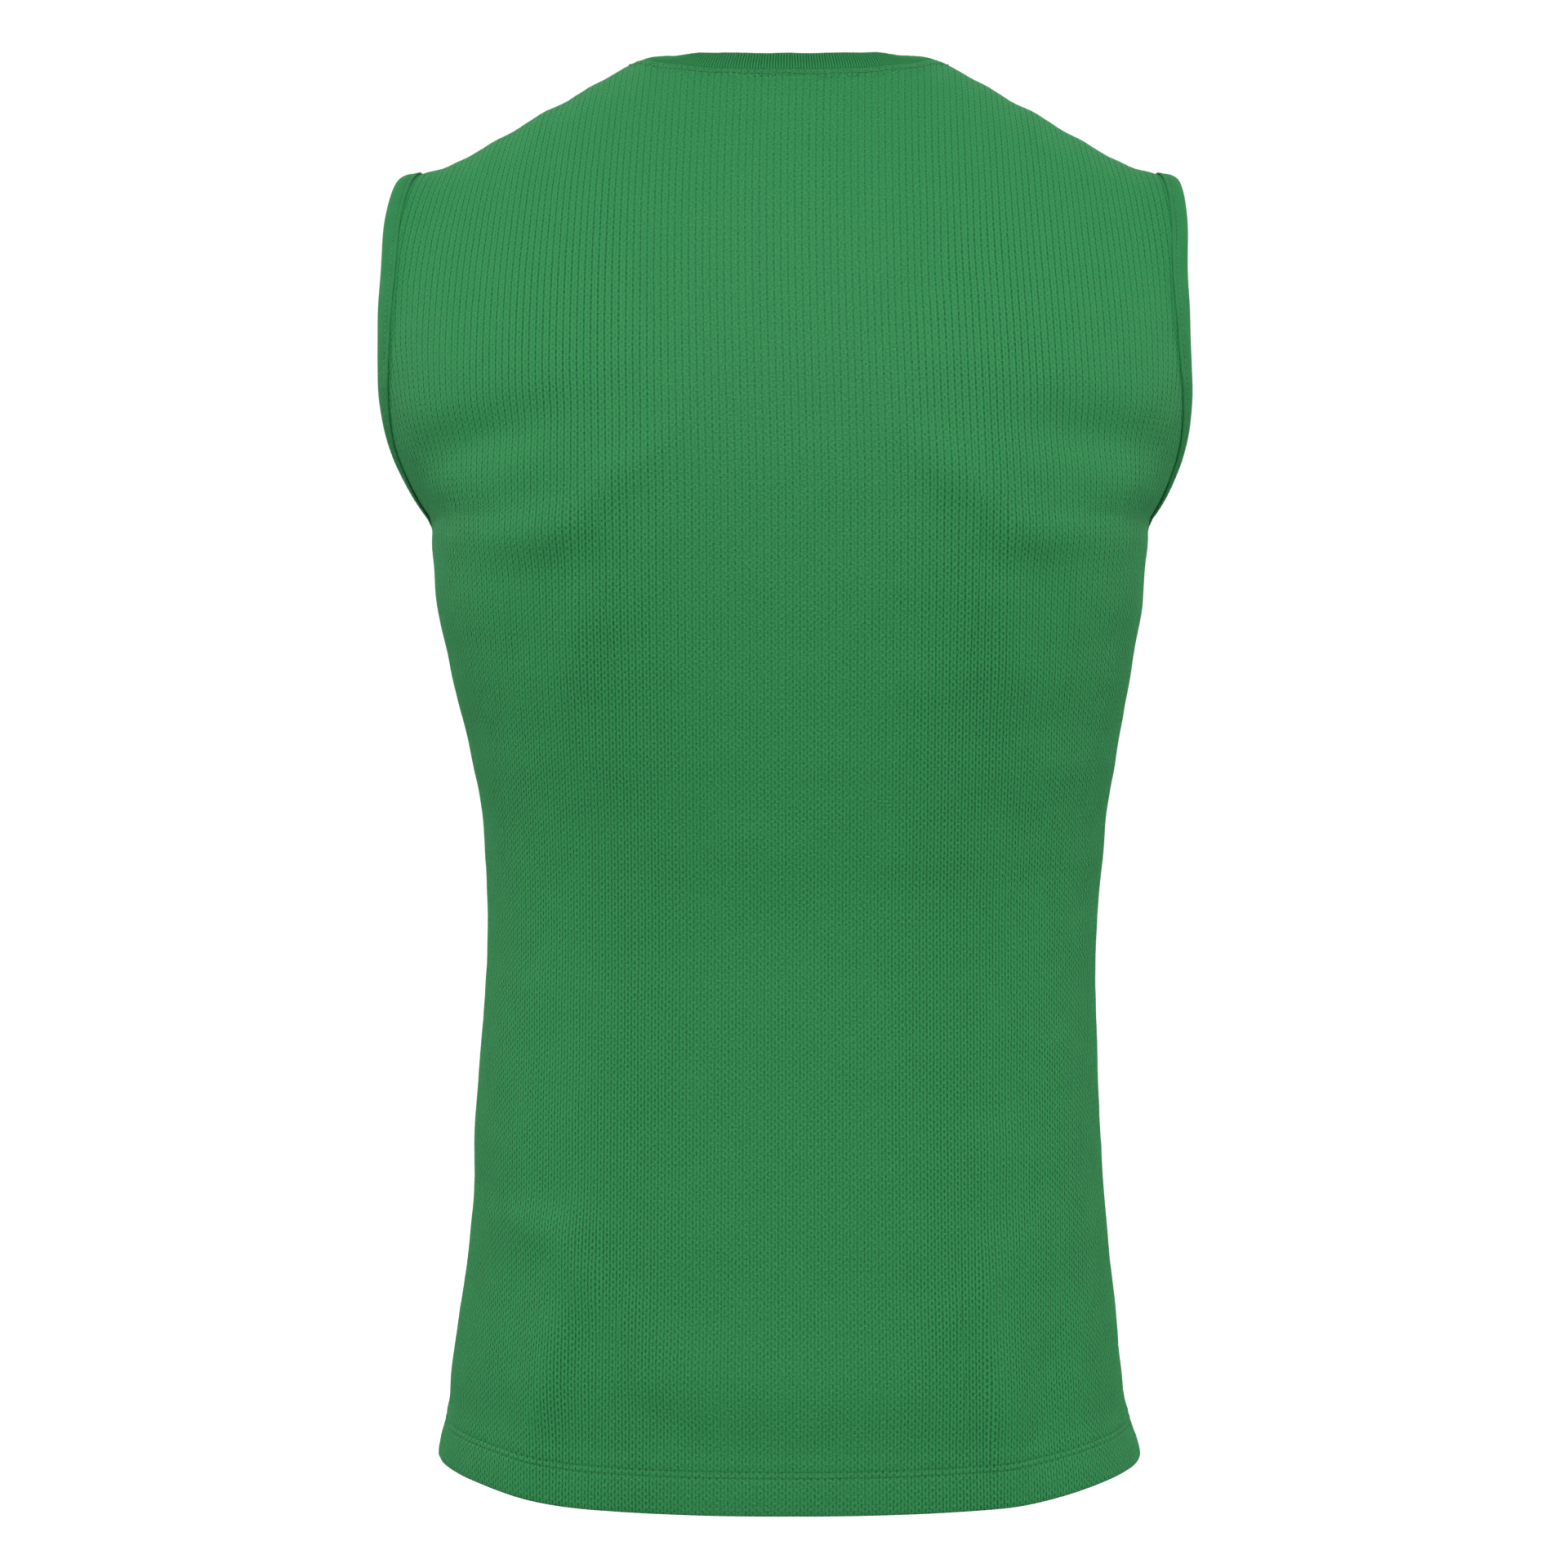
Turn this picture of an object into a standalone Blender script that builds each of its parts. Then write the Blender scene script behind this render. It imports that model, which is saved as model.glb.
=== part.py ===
"""Sleeveless crew-neck sports shirt in mesh knit, filled out as if worn, with nobody in it.

Metres, +Z up. The wearer would face -Y, so the wearer's left is +X. The origin is midway between
the neck ends of the two shoulder seams, where the shirt hangs from the wearer's shoulders.
"""

import math
from typing import NamedTuple

import bmesh
import bpy
import numpy as np
from mathutils import Vector
from mathutils.bvhtree import BVHTree

BACK = 1
FRONT = -1

# Cloth and seams
WALL = 0.0011
DOUBLED_WALL = 0.0022
SEAM_GAP = 0.0003
SEAM_GROOVE = 0.0004

# Levels and lengths
HEM_Z = -0.7098
HEM_TILT = 0.0018
HEM_TILT_FADES_AT = -0.6000
UNDERARM_Z = -0.2320
BODY_ROW_STEP = 0.0310
CLOSE_ROWS_BELOW_UNDERARM = (0.0190, 0.0100, 0.0040, 0.0012)

# Half-widths at the shoulders, and the share of a panel's half width that meets the shoulder tip
NECK_HALF_WIDTH = 0.0760
SHOULDER_TIP_X = 0.1930
TIP_SHARE = 0.78
ARMHOLE_SWAY = 0.0022
NECK_END = NECK_HALF_WIDTH / SHOULDER_TIP_X

# Armhole bindings
BINDING_GAP = 0.0005
BINDING_LINING_GAP = 0.0009
BINDING_ROW_ALIGNMENT = 0.75
BINDING_CLOTH = 0.0009
BINDING_REACH = 0.0077

# Collar band
COLLAR_WALL = 0.0022
COLLAR_ROUNDING = 0.0007

# How far out the corner point of a rounded fold stands, as a share of its rounding
FOLD_CORNER = 0.7

# Steps of the panels' grids, of the arcs they are measured on, and of the search for the neck's cut
NECK_COLUMNS = 7
SHOULDER_COLUMNS = 8
EDGE_CROWDING = 1.6
SEAM_ROW = 0.012
ARMHOLE_ROWS = 18
ARC_STEPS = 400
HALVINGS = 40


class Section(NamedTuple):
    """A level of the body: half-widths to the side seams, and depths to the back and front."""

    z: float
    left: float
    right: float
    back: float
    front: float
    corner: float


BODY = (
    Section(z=-0.7120, left=0.1782, right=0.1790, back=0.1190, front=0.1165, corner=2.25),
    Section(z=-0.6980, left=0.1764, right=0.1762, back=0.1182, front=0.1160, corner=2.25),
    Section(z=-0.6850, left=0.1732, right=0.1718, back=0.1168, front=0.1152, corner=2.25),
    Section(z=-0.6607, left=0.1702, right=0.1677, back=0.1150, front=0.1145, corner=2.25),
    Section(z=-0.6192, left=0.1643, right=0.1639, back=0.1110, front=0.1140, corner=2.25),
    Section(z=-0.5777, left=0.1598, right=0.1598, back=0.1065, front=0.1135, corner=2.25),
    Section(z=-0.5362, left=0.1589, right=0.1573, back=0.1020, front=0.1130, corner=2.25),
    Section(z=-0.4947, left=0.1556, right=0.1560, back=0.0985, front=0.1120, corner=2.25),
    Section(z=-0.4532, left=0.1527, right=0.1552, back=0.0965, front=0.1110, corner=2.25),
    Section(z=-0.4117, left=0.1531, right=0.1577, back=0.0975, front=0.1115, corner=2.25),
    Section(z=-0.3702, left=0.1569, right=0.1623, back=0.1015, front=0.1140, corner=2.34),
    Section(z=-0.3287, left=0.1660, right=0.1693, back=0.1060, front=0.1180, corner=2.48),
    Section(z=-0.2872, left=0.1751, right=0.1764, back=0.1100, front=0.1215, corner=2.66),
    Section(z=-0.2498, left=0.1790, right=0.1800, back=0.1125, front=0.1235, corner=2.82),
    Section(z=-0.2320, left=0.1806, right=0.1818, back=0.1132, front=0.1237, corner=2.90),
    Section(z=-0.2000, left=0.2110, right=0.2095, back=0.1137, front=0.1234, corner=3.05),
)


# How far the neck's cut reaches behind and before the shoulder seams, as seen from above
NECK_DEPTH = {BACK: 0.0520, FRONT: 0.0840}


class ShoulderPoint(NamedTuple):
    """A point of the line over the shoulders, which the neck and the armholes interrupt."""

    x: float
    z: float


SHOULDER = (
    ShoulderPoint(x=0.0000, z=0.0190),
    ShoulderPoint(x=0.0300, z=0.0155),
    ShoulderPoint(x=0.0560, z=0.0080),
    ShoulderPoint(x=0.0760, z=0.0000),
    ShoulderPoint(x=0.0870, z=-0.0052),
    ShoulderPoint(x=0.1060, z=-0.0160),
    ShoulderPoint(x=0.1310, z=-0.0299),
    ShoulderPoint(x=0.1560, z=-0.0437),
    ShoulderPoint(x=0.1720, z=-0.0516),
    ShoulderPoint(x=0.1850, z=-0.0552),
    ShoulderPoint(x=0.2000, z=-0.0585),
    ShoulderPoint(x=0.2420, z=-0.0700),
)


class Column(NamedTuple):
    """How a panel climbs from the underarm level to the shoulder line, by share of half its width.

    rise is the length of the lower handle and flare its outward lean towards the armhole; out,
    away and drop place the upper handle from the top.
    """

    share: float
    rise: float
    flare: float
    out: float
    away: float
    drop: float


COLUMNS = {
    BACK: (
        Column(share=0.00, rise=0.100, flare=0.000, out=0.000, away=0.064, drop=0.0000),
        Column(share=0.16, rise=0.098, flare=0.000, out=0.001, away=0.060, drop=0.0006),
        Column(share=0.32, rise=0.090, flare=0.000, out=0.001, away=0.053, drop=0.0012),
        Column(share=0.55, rise=0.076, flare=0.001, out=0.000, away=0.055, drop=0.0020),
        Column(share=0.78, rise=0.064, flare=0.010, out=-0.004, away=0.072, drop=0.0020),
        Column(share=1.00, rise=0.062, flare=0.019, out=-0.006, away=0.078, drop=0.0030),
    ),
    FRONT: (
        Column(share=0.00, rise=0.072, flare=0.000, out=0.000, away=0.076, drop=0.0380),
        Column(share=0.16, rise=0.074, flare=0.000, out=0.001, away=0.072, drop=0.0300),
        Column(share=0.32, rise=0.078, flare=0.000, out=0.002, away=0.064, drop=0.0120),
        Column(share=0.55, rise=0.072, flare=0.000, out=0.000, away=0.060, drop=0.0040),
        Column(share=0.78, rise=0.064, flare=0.006, out=-0.005, away=0.070, drop=0.0020),
        Column(share=1.00, rise=0.062, flare=0.013, out=-0.006, away=0.074, drop=0.0030),
    ),
}


class ArmholeCut(NamedTuple):
    """How much of a panel's half width the armhole takes away, on the way up from the underarm."""

    way_up: float
    cut: float


ARMHOLE = {
    BACK: (
        ArmholeCut(way_up=0.00, cut=0.000),
        ArmholeCut(way_up=0.10, cut=0.050),
        ArmholeCut(way_up=0.20, cut=0.092),
        ArmholeCut(way_up=0.32, cut=0.134),
        ArmholeCut(way_up=0.46, cut=0.176),
        ArmholeCut(way_up=0.62, cut=0.207),
        ArmholeCut(way_up=0.80, cut=0.218),
        ArmholeCut(way_up=1.00, cut=0.220),
    ),
    FRONT: (
        ArmholeCut(way_up=0.00, cut=0.000),
        ArmholeCut(way_up=0.10, cut=0.058),
        ArmholeCut(way_up=0.20, cut=0.118),
        ArmholeCut(way_up=0.32, cut=0.180),
        ArmholeCut(way_up=0.46, cut=0.232),
        ArmholeCut(way_up=0.62, cut=0.256),
        ArmholeCut(way_up=0.80, cut=0.246),
        ArmholeCut(way_up=1.00, cut=0.220),
    ),
}


class HemRow(NamedTuple):
    """A row near the hem: its height over the edge, how far it is drawn in, and if doubled."""

    height: float
    inset: float
    doubled: float


HEM_ROWS = (
    HemRow(height=0.0000, inset=0.0009, doubled=1.0),
    HemRow(height=0.0008, inset=0.0002, doubled=1.0),
    HemRow(height=0.0025, inset=0.0000, doubled=1.0),
    HemRow(height=0.0180, inset=0.0000, doubled=1.0),
    HemRow(height=0.0200, inset=0.0006, doubled=1.0),
    HemRow(height=0.0215, inset=0.0000, doubled=0.0),
)


class Fold(NamedTuple):
    """A soft trough (depth below zero) or ridge in a panel, seen from straight before it."""

    x: float
    z: float
    slant: float
    length: float
    width: float
    depth: float


FOLDS = {
    BACK: (
        Fold(x=0.135, z=-0.175, slant=62.0, length=0.050, width=0.022, depth=-0.0030),
        Fold(x=-0.130, z=-0.185, slant=118.0, length=0.055, width=0.022, depth=-0.0030),
        Fold(x=0.105, z=-0.270, slant=25.0, length=0.050, width=0.018, depth=-0.0026),
        Fold(x=-0.095, z=-0.250, slant=160.0, length=0.060, width=0.018, depth=-0.0026),
        Fold(x=0.000, z=-0.440, slant=0.0, length=0.080, width=0.024, depth=-0.0022),
        Fold(x=0.110, z=-0.620, slant=82.0, length=0.080, width=0.020, depth=0.0024),
        Fold(x=-0.105, z=-0.630, slant=96.0, length=0.080, width=0.022, depth=0.0024),
    ),
    FRONT: (
        Fold(x=0.115, z=-0.215, slant=48.0, length=0.055, width=0.018, depth=-0.0030),
        Fold(x=-0.120, z=-0.205, slant=130.0, length=0.060, width=0.020, depth=-0.0030),
        Fold(x=0.090, z=-0.330, slant=70.0, length=0.070, width=0.022, depth=-0.0024),
        Fold(x=-0.085, z=-0.350, slant=105.0, length=0.080, width=0.022, depth=-0.0024),
        Fold(x=0.070, z=-0.600, slant=84.0, length=0.090, width=0.022, depth=0.0026),
        Fold(x=-0.080, z=-0.590, slant=95.0, length=0.090, width=0.024, depth=0.0026),
    ),
}
FOLD_FADE = 0.22


class CollarLean(NamedTuple):
    """How the collar band stands on its seam: round is 0 at the back, 1 at the front."""

    round: float
    inward: float
    rise: float


COLLAR = (
    CollarLean(round=0.00, inward=0.0078, rise=0.0098),
    CollarLean(round=0.25, inward=0.0092, rise=0.0086),
    CollarLean(round=0.50, inward=0.0116, rise=0.0056),
    CollarLean(round=0.75, inward=0.0092, rise=0.0086),
    CollarLean(round=1.00, inward=0.0062, rise=0.0108),
)


class BandPoint(NamedTuple):
    """A point across the collar band: its share of the width, and how far its face swells."""

    share: float
    swell: float


COLLAR_OUTSIDE = (BandPoint(share=0.20, swell=0.0003), BandPoint(share=0.55, swell=0.0004))
COLLAR_INSIDE = (BandPoint(share=0.55, swell=0.0000), BandPoint(share=0.25, swell=0.0000))

KNIT_GREEN = (0.030, 0.235, 0.078, 1.0)
BINDING_GREEN = (0.033, 0.255, 0.086, 1.0)
RIB_GREEN = (0.028, 0.215, 0.072, 1.0)


class Curve:
    """A smooth curve through the rows of a table, read by the table's first column.

    Where the shape goes on mirrored past an end, the curve starts or ends level.
    """

    def __init__(self, rows, level_start=False, level_end=False):
        self.row = type(rows[0])
        self.table = np.array(rows, dtype=float)
        self.keys = self.table[:, 0]
        self.slopes = np.gradient(self.table, self.keys, axis=0)
        if level_start:
            self.slopes[0, 1:] = 0.0
        if level_end:
            self.slopes[-1, 1:] = 0.0

    def at(self, key):
        """The row at this key, or one row of arrays for an array of keys."""
        key = np.asarray(key, dtype=float)
        span = np.clip(np.searchsorted(self.keys, key) - 1, 0, len(self.keys) - 2)
        step = (self.keys[span + 1] - self.keys[span])[..., None]
        t = (key - self.keys[span])[..., None] / step
        start = self.table[span] + t * step * self.slopes[span] * (1 - t)
        end = self.table[span + 1] - (1 - t) * step * self.slopes[span + 1] * t
        weight = t * t * (3 - 2 * t)
        return self.row(*np.moveaxis(start * (1 - weight) + end * weight, -1, 0))


BODY_CURVE = Curve(BODY)
SHOULDER_CURVE = Curve(SHOULDER, level_start=True)
COLUMN_CURVES = {side: Curve(rows, level_start=True) for side, rows in COLUMNS.items()}
ARMHOLE_CURVES = {side: Curve(rows) for side, rows in ARMHOLE.items()}
COLLAR_CURVE = Curve(COLLAR, level_start=True, level_end=True)


def quarter_points(half, depth, corner, shares):
    """Points of a rounded quarter, from the panel's middle to its side, by share of its length."""
    turn = np.linspace(0.0, math.pi / 2, ARC_STEPS)
    x = half * np.sin(turn) ** (2 / corner)
    y = depth * np.cos(turn) ** (2 / corner)
    length = np.concatenate([[0.0], np.cumsum(np.hypot(np.diff(x), np.diff(y)))])
    wanted = shares * length[-1]
    return np.interp(wanted, length, x), np.interp(wanted, length, y)


def level_row(side, shares, z):
    """Points of a panel at one level; share 0 is its middle, 1 its left and -1 its right edge."""
    level = BODY_CURVE.at(z)
    depth = level.back if side == BACK else level.front
    reach = np.abs(shares)
    left_x, left_y = quarter_points(level.left, depth, level.corner, reach)
    right_x, right_y = quarter_points(level.right, depth, level.corner, reach)
    on_left = shares > 0
    x = np.where(on_left, left_x, -right_x)
    y = side * np.where(on_left, left_y, right_y)
    return np.stack([x, y, np.full_like(x, z)], axis=-1)


def column_points(side, shares):
    """The four control points of each column, from the underarm level to the shoulder line."""
    probe = 0.001
    start = level_row(side, shares, UNDERARM_Z)
    lean = (level_row(side, shares, UNDERARM_Z + probe) - start) / probe
    handle = COLUMN_CURVES[side].at(np.abs(shares))
    x = np.abs(shares) / TIP_SHARE * SHOULDER_TIP_X
    outward = np.sign(shares)
    end = np.stack([outward * x, 0 * x, SHOULDER_CURVE.at(x).z], axis=-1)
    shift = np.stack([outward * handle.out, side * handle.away, -handle.drop], axis=-1)
    low = start + lean * handle.rise[:, None]
    low[:, 0] += outward * handle.flare
    return start, low, end + shift, end


def climbed(points, climb):
    """Where each column is after this share of its climb."""
    start, low, high, end = points
    t = np.asarray(climb)[..., None]
    s = 1 - t
    return s**3 * start + 3 * s * s * t * low + 3 * s * t * t * high + t**3 * end


def neck_climb(side, columns):
    """The share of its climb that each column has made at the neck's cut, or at the shoulder."""
    points = column_points(side, columns * TIP_SHARE)
    low = np.zeros(len(columns))
    high = np.ones(len(columns))
    for _ in range(HALVINGS):
        middle = (low + high) / 2
        at = climbed(points, middle)
        outside = (at[:, 0] / NECK_HALF_WIDTH) ** 2 + (at[:, 1] / NECK_DEPTH[side]) ** 2 > 1
        low = np.where(outside, middle, low)
        high = np.where(outside, high, middle)
    return np.where(np.abs(columns) < NECK_END - 1e-9, high, 1.0)


def high_row(side, columns, way_up, neck):
    """A row of a panel over the underarm level, this share of the way up to its top edge."""
    cut = float(ARMHOLE_CURVES[side].at(way_up).cut)
    climb = way_up * way_up * (2 - way_up)
    row = climbed(column_points(side, columns * (1 - cut)), climb * neck)
    row[:, 0] += ARMHOLE_SWAY * math.sin(math.pi * climb) ** 2
    return row


def low_row(side, columns, z):
    """A row of a panel under the underarm level, with the hem's slight tilt."""
    row = level_row(side, columns, z)
    fade = np.clip((HEM_TILT_FADES_AT - z) / (HEM_TILT_FADES_AT - HEM_Z), 0.0, 1.0)
    row[:, 2] += HEM_TILT * fade * row[:, 0] / BODY_CURVE.at(z).left
    return row


def column_places():
    """Where the columns of a panel stand, from its right edge at -1 to its left edge at 1."""
    neck = NECK_END * np.sin(np.linspace(0.0, math.pi / 2, NECK_COLUMNS + 1))
    crowded = np.linspace(1.0, 0.0, SHOULDER_COLUMNS + 1) ** EDGE_CROWDING
    half = np.concatenate([neck, 1 - (1 - NECK_END) * crowded[1:]])
    return np.concatenate([-half[:0:-1], half])


def grid_normals(points, side):
    """Outward unit normals of a panel's grid of points."""
    across = np.gradient(points, axis=1)
    upward = np.gradient(points, axis=0)
    normals = -side * np.cross(across, upward)
    return normals / np.linalg.norm(normals, axis=-1, keepdims=True)


def fold_height(side, points, columns):
    """How far the soft folds lift or sink each point of a panel's grid."""
    height = np.zeros(points.shape[:2])
    for fold in FOLDS[side]:
        slant = math.radians(fold.slant)
        dx = points[..., 0] - fold.x
        dz = points[..., 2] - fold.z
        along = (dx * math.cos(slant) + dz * math.sin(slant)) / fold.length
        aside = (dz * math.cos(slant) - dx * math.sin(slant)) / fold.width
        height += fold.depth * np.exp(-along * along - aside * aside)
    fade = np.clip((1 - np.abs(columns)) / FOLD_FADE, 0.0, 1.0)
    return height * fade * fade * (3 - 2 * fade)


class Panel:
    """A body panel's outer face: a grid of points, hem to top edge and right edge to left."""

    def __init__(self, side):
        self.side = side
        self.columns = column_places()
        body_start = HEM_Z + HEM_ROWS[-1].height
        body_rows = round((UNDERARM_Z - body_start) / BODY_ROW_STEP)
        levels = [HEM_Z + row.height for row in HEM_ROWS[:-1]]
        levels += list(np.linspace(body_start, UNDERARM_Z, body_rows + 1)[:-1])
        levels += [UNDERARM_Z - below for below in CLOSE_ROWS_BELOW_UNDERARM]
        ways_up = np.linspace(0.0, 1.0, ARMHOLE_ROWS + 1)
        ways_up = np.insert(ways_up, ARMHOLE_ROWS, 1 - SEAM_ROW)
        self.underarm_row = len(levels)
        rows = [low_row(side, self.columns, z) for z in levels]
        neck = neck_climb(side, self.columns)
        rows += [high_row(side, self.columns, way_up, neck) for way_up in ways_up]
        plain = np.stack(rows)
        hem = HEM_ROWS + (HemRow(height=0.0, inset=0.0, doubled=0.0),) * (len(rows) - len(HEM_ROWS))
        self.doubled = np.array([row.doubled for row in hem])
        inset = np.array([[row.inset] for row in hem]) + self.seam_grooves(plain.shape[:2])
        lift = fold_height(side, plain, self.columns) - inset
        self.points = plain + grid_normals(plain, side) * lift[..., None]
        self.part_at_seams()
        self.normals = grid_normals(self.points, side)

    def on_shoulder(self):
        """Which columns end on a shoulder seam, and not on the neck edge."""
        return np.abs(self.columns) > NECK_END - 1e-9

    def seam_grooves(self, shape):
        """How far the cloth sinks along its side seams and shoulder seams."""
        grooves = np.zeros(shape)
        grooves[: self.underarm_row + 1, [0, -1]] = SEAM_GROOVE
        grooves[-1, self.on_shoulder()] = SEAM_GROOVE
        return grooves

    def part_at_seams(self):
        """Leaves half of the seam gap between this panel and the other one."""
        half_gap = self.side * SEAM_GAP / 2
        self.points[: self.underarm_row + 1, [0, -1], 1] = half_gap
        self.points[-1, self.on_shoulder(), 1] = half_gap

    def armhole_edge(self, hand):
        """Points and normals of one armhole edge, from the underarm up, and its rows' direction."""
        edge, inside = (-1, -2) if hand > 0 else (0, 1)
        points = self.points[self.underarm_row :, edge]
        row_way = points - self.points[self.underarm_row :, inside]
        row_way /= np.linalg.norm(row_way, axis=1, keepdims=True)
        return points, self.normals[self.underarm_row :, edge], row_way

    def neck_edge(self):
        """Points and normals of the neck edge, from the wearer's right to left."""
        on_neck = np.abs(self.columns) < NECK_END + 1e-9
        return self.points[-1, on_neck], self.normals[-1, on_neck]


def material(name, colour, roughness):
    """A plain cloth material."""
    made = bpy.data.materials.new(name)
    made.use_nodes = True
    shader = made.node_tree.nodes["Principled BSDF"]
    shader.inputs["Base Color"].default_value = colour
    shader.inputs["Roughness"].default_value = roughness
    shader.inputs["Metallic"].default_value = 0.0
    made.diffuse_color = colour
    return made


def grid_mesh(name, points, closed=False, outward=1):
    """A mesh of four-sided faces through a grid of points; a closed one joins both ways round."""
    built = bmesh.new()
    corners = [[built.verts.new(point) for point in row] for row in points]
    rows = len(corners)
    columns = len(corners[0])
    for row in range(rows if closed else rows - 1):
        for column in range(columns if closed else columns - 1):
            after = (column + 1) % columns
            over = (row + 1) % rows
            low_side = [corners[row][column], corners[row][after]]
            high_side = [corners[over][after], corners[over][column]]
            built.faces.new((low_side + high_side)[::outward])
    if closed:
        bmesh.ops.recalc_face_normals(built, faces=built.faces)
    for face in built.faces:
        face.smooth = True
    mesh = bpy.data.meshes.new(name)
    built.to_mesh(mesh)
    built.free()
    return mesh


def add_object(name, mesh, finish, collection):
    """A named object of the shirt."""
    made = bpy.data.objects.new(name, mesh)
    made.data.materials.append(finish)
    collection.objects.link(made)
    return made


def add_panel(name, panel, finish, collection):
    """A body panel: its outer face with a wall behind it, twice as thick in the turned-up hem."""
    mesh = grid_mesh(name, panel.points, outward=-panel.side)
    made = add_object(name, mesh, finish, collection)
    group = made.vertex_groups.new(name="doubled")
    width = panel.points.shape[1]
    for row, doubled in enumerate(panel.doubled):
        group.add(list(range(row * width, (row + 1) * width)), float(doubled), "REPLACE")
    wall = made.modifiers.new("Cloth wall", "SOLIDIFY")
    wall.thickness = DOUBLED_WALL
    wall.offset = -1.0
    wall.vertex_group = group.name
    wall.thickness_vertex_group = WALL / DOUBLED_WALL
    return made


def armhole_loop(panels, hand):
    """Points, normals and row directions round an armhole: up its back edge, down its front."""
    loop = []
    for back, front in zip(panels[BACK].armhole_edge(hand), panels[FRONT].armhole_edge(hand)):
        underarm = (back[0] + front[0]) / 2
        tip = (back[-1] + front[-1]) / 2
        loop.append(np.concatenate([[underarm], back[1:-1], [tip], front[-2:0:-1]]))
    points, normals, row_ways = loop
    return points, normals / np.linalg.norm(normals, axis=1, keepdims=True), row_ways


def binding_outline():
    """The folded strip's section: beyond the cloth's edge, and over the cloth's outer face."""
    near = BINDING_GAP
    far = BINDING_GAP + BINDING_CLOTH
    below = -WALL
    lining = below - BINDING_LINING_GAP
    lined = lining - BINDING_CLOTH
    outer = [(-BINDING_REACH, near), (-BINDING_REACH, far), (-BINDING_REACH / 2, far), (0.0, far)]
    corner = FOLD_CORNER * far
    fold = [(corner, corner), (far, below / 2), (corner, below - corner)]
    inner = [(0.0, lined), (-BINDING_REACH / 2, lined), (-BINDING_REACH, lined)]
    seat = [(-BINDING_REACH, lining), (-BINDING_REACH / 2, lining), (near, lining)]
    return outer + fold + inner + seat + [(near, near), (-BINDING_REACH / 2, near)]


def add_binding(name, panels, hand, cloth, finish, collection):
    """A strip folded over an armhole's edge, following the panels' own faces."""
    points, normals, row_ways = armhole_loop(panels, hand)
    along = np.roll(points, -1, axis=0) - np.roll(points, 1, axis=0)
    beyond = np.cross(along, normals)
    beyond /= np.linalg.norm(beyond, axis=1, keepdims=True)
    halfway = ARMHOLE_ROWS // 2
    if beyond[halfway][0] * hand < 0:
        beyond = -beyond
    rings = []
    for edge, normal, outward, row_way in zip(points, normals, beyond, row_ways):
        alignment = float(np.dot(outward, row_way))
        inward = row_way / alignment if alignment > BINDING_ROW_ALIGNMENT else outward
        ring = []
        for reach, height in binding_outline():
            if reach < 0:
                seat, face_normal, _, _ = cloth.find_nearest(Vector(edge + reach * inward))
                ring.append(seat + face_normal * height)
            else:
                ring.append(Vector(edge + reach * outward + height * normal))
        rings.append(ring)
    return add_object(name, grid_mesh(name, rings, closed=True), finish, collection)


def neck_loop(panels):
    """Points, normals and places round the neck: along the back, then back along the front."""
    back, back_normals = panels[BACK].neck_edge()
    front, front_normals = panels[FRONT].neck_edge()
    back[[0, -1], 1] = 0.0
    points = np.concatenate([back, front[-2:0:-1]])
    normals = np.concatenate([back_normals, front_normals[-2:0:-1]])
    steps = len(back) - 1
    half = np.abs(np.linspace(-0.5, 0.5, steps + 1))
    return points, normals, np.concatenate([half, 1 - half[-2:0:-1]])


def add_collar(name, panels, finish, collection):
    """The folded rib band, standing on the neck edge and leaning in."""
    points, normals, places = neck_loop(panels)
    along = np.roll(points, -1, axis=0) - np.roll(points, 1, axis=0)
    upright = np.array([0.0, 0.0, 1.0])
    rings = []
    for edge, normal, run, place in zip(points, normals, along, places):
        stand = COLLAR_CURVE.at(place)
        inward = np.cross(upright, run)
        inward /= np.linalg.norm(inward)
        if np.dot(inward, edge) > 0:
            inward = -inward
        lean = float(stand.inward) * inward + float(stand.rise) * upright
        width = np.linalg.norm(lean)
        lean = lean / width
        face = np.cross(run, lean)
        face /= np.linalg.norm(face)
        if np.dot(face, normal) < 0:
            face = -face
        start = edge + SEAM_GAP * lean
        top = width - COLLAR_ROUNDING
        high = top + FOLD_CORNER * COLLAR_ROUNDING
        shallow = (1 - FOLD_CORNER) * COLLAR_ROUNDING
        ring = [start]
        ring += [
            start + point.share * width * lean + point.swell * face
            for point in COLLAR_OUTSIDE
        ]
        ring += [
            start + top * lean,
            start + high * lean - shallow * face,
            start + width * lean - COLLAR_WALL / 2 * face,
            start + high * lean - (COLLAR_WALL - shallow) * face,
            start + top * lean - COLLAR_WALL * face,
        ]
        ring += [
            start + point.share * width * lean - (COLLAR_WALL - point.swell) * face
            for point in COLLAR_INSIDE
        ]
        ring.append(start - COLLAR_WALL * normal)
        rings.append([Vector(point) for point in ring])
    return add_object(name, grid_mesh(name, rings, closed=True), finish, collection)


def clear_scene():
    """Removes every object, so that the shirt stands alone."""
    for old in list(bpy.data.objects):
        bpy.data.objects.remove(old, do_unlink=True)


def outer_faces(panels):
    """A search tree over the outer faces of both panels."""
    corners = []
    faces = []
    for panel in panels.values():
        first = len(corners)
        rows, columns = panel.points.shape[:2]
        corners += [Vector(point) for point in panel.points.reshape(-1, 3)]
        for row in range(rows - 1):
            for column in range(columns - 1):
                corner = first + row * columns + column
                face = (corner, corner + 1, corner + columns + 1, corner + columns)
                faces.append(face[:: -panel.side])
    return BVHTree.FromPolygons(corners, faces)


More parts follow.
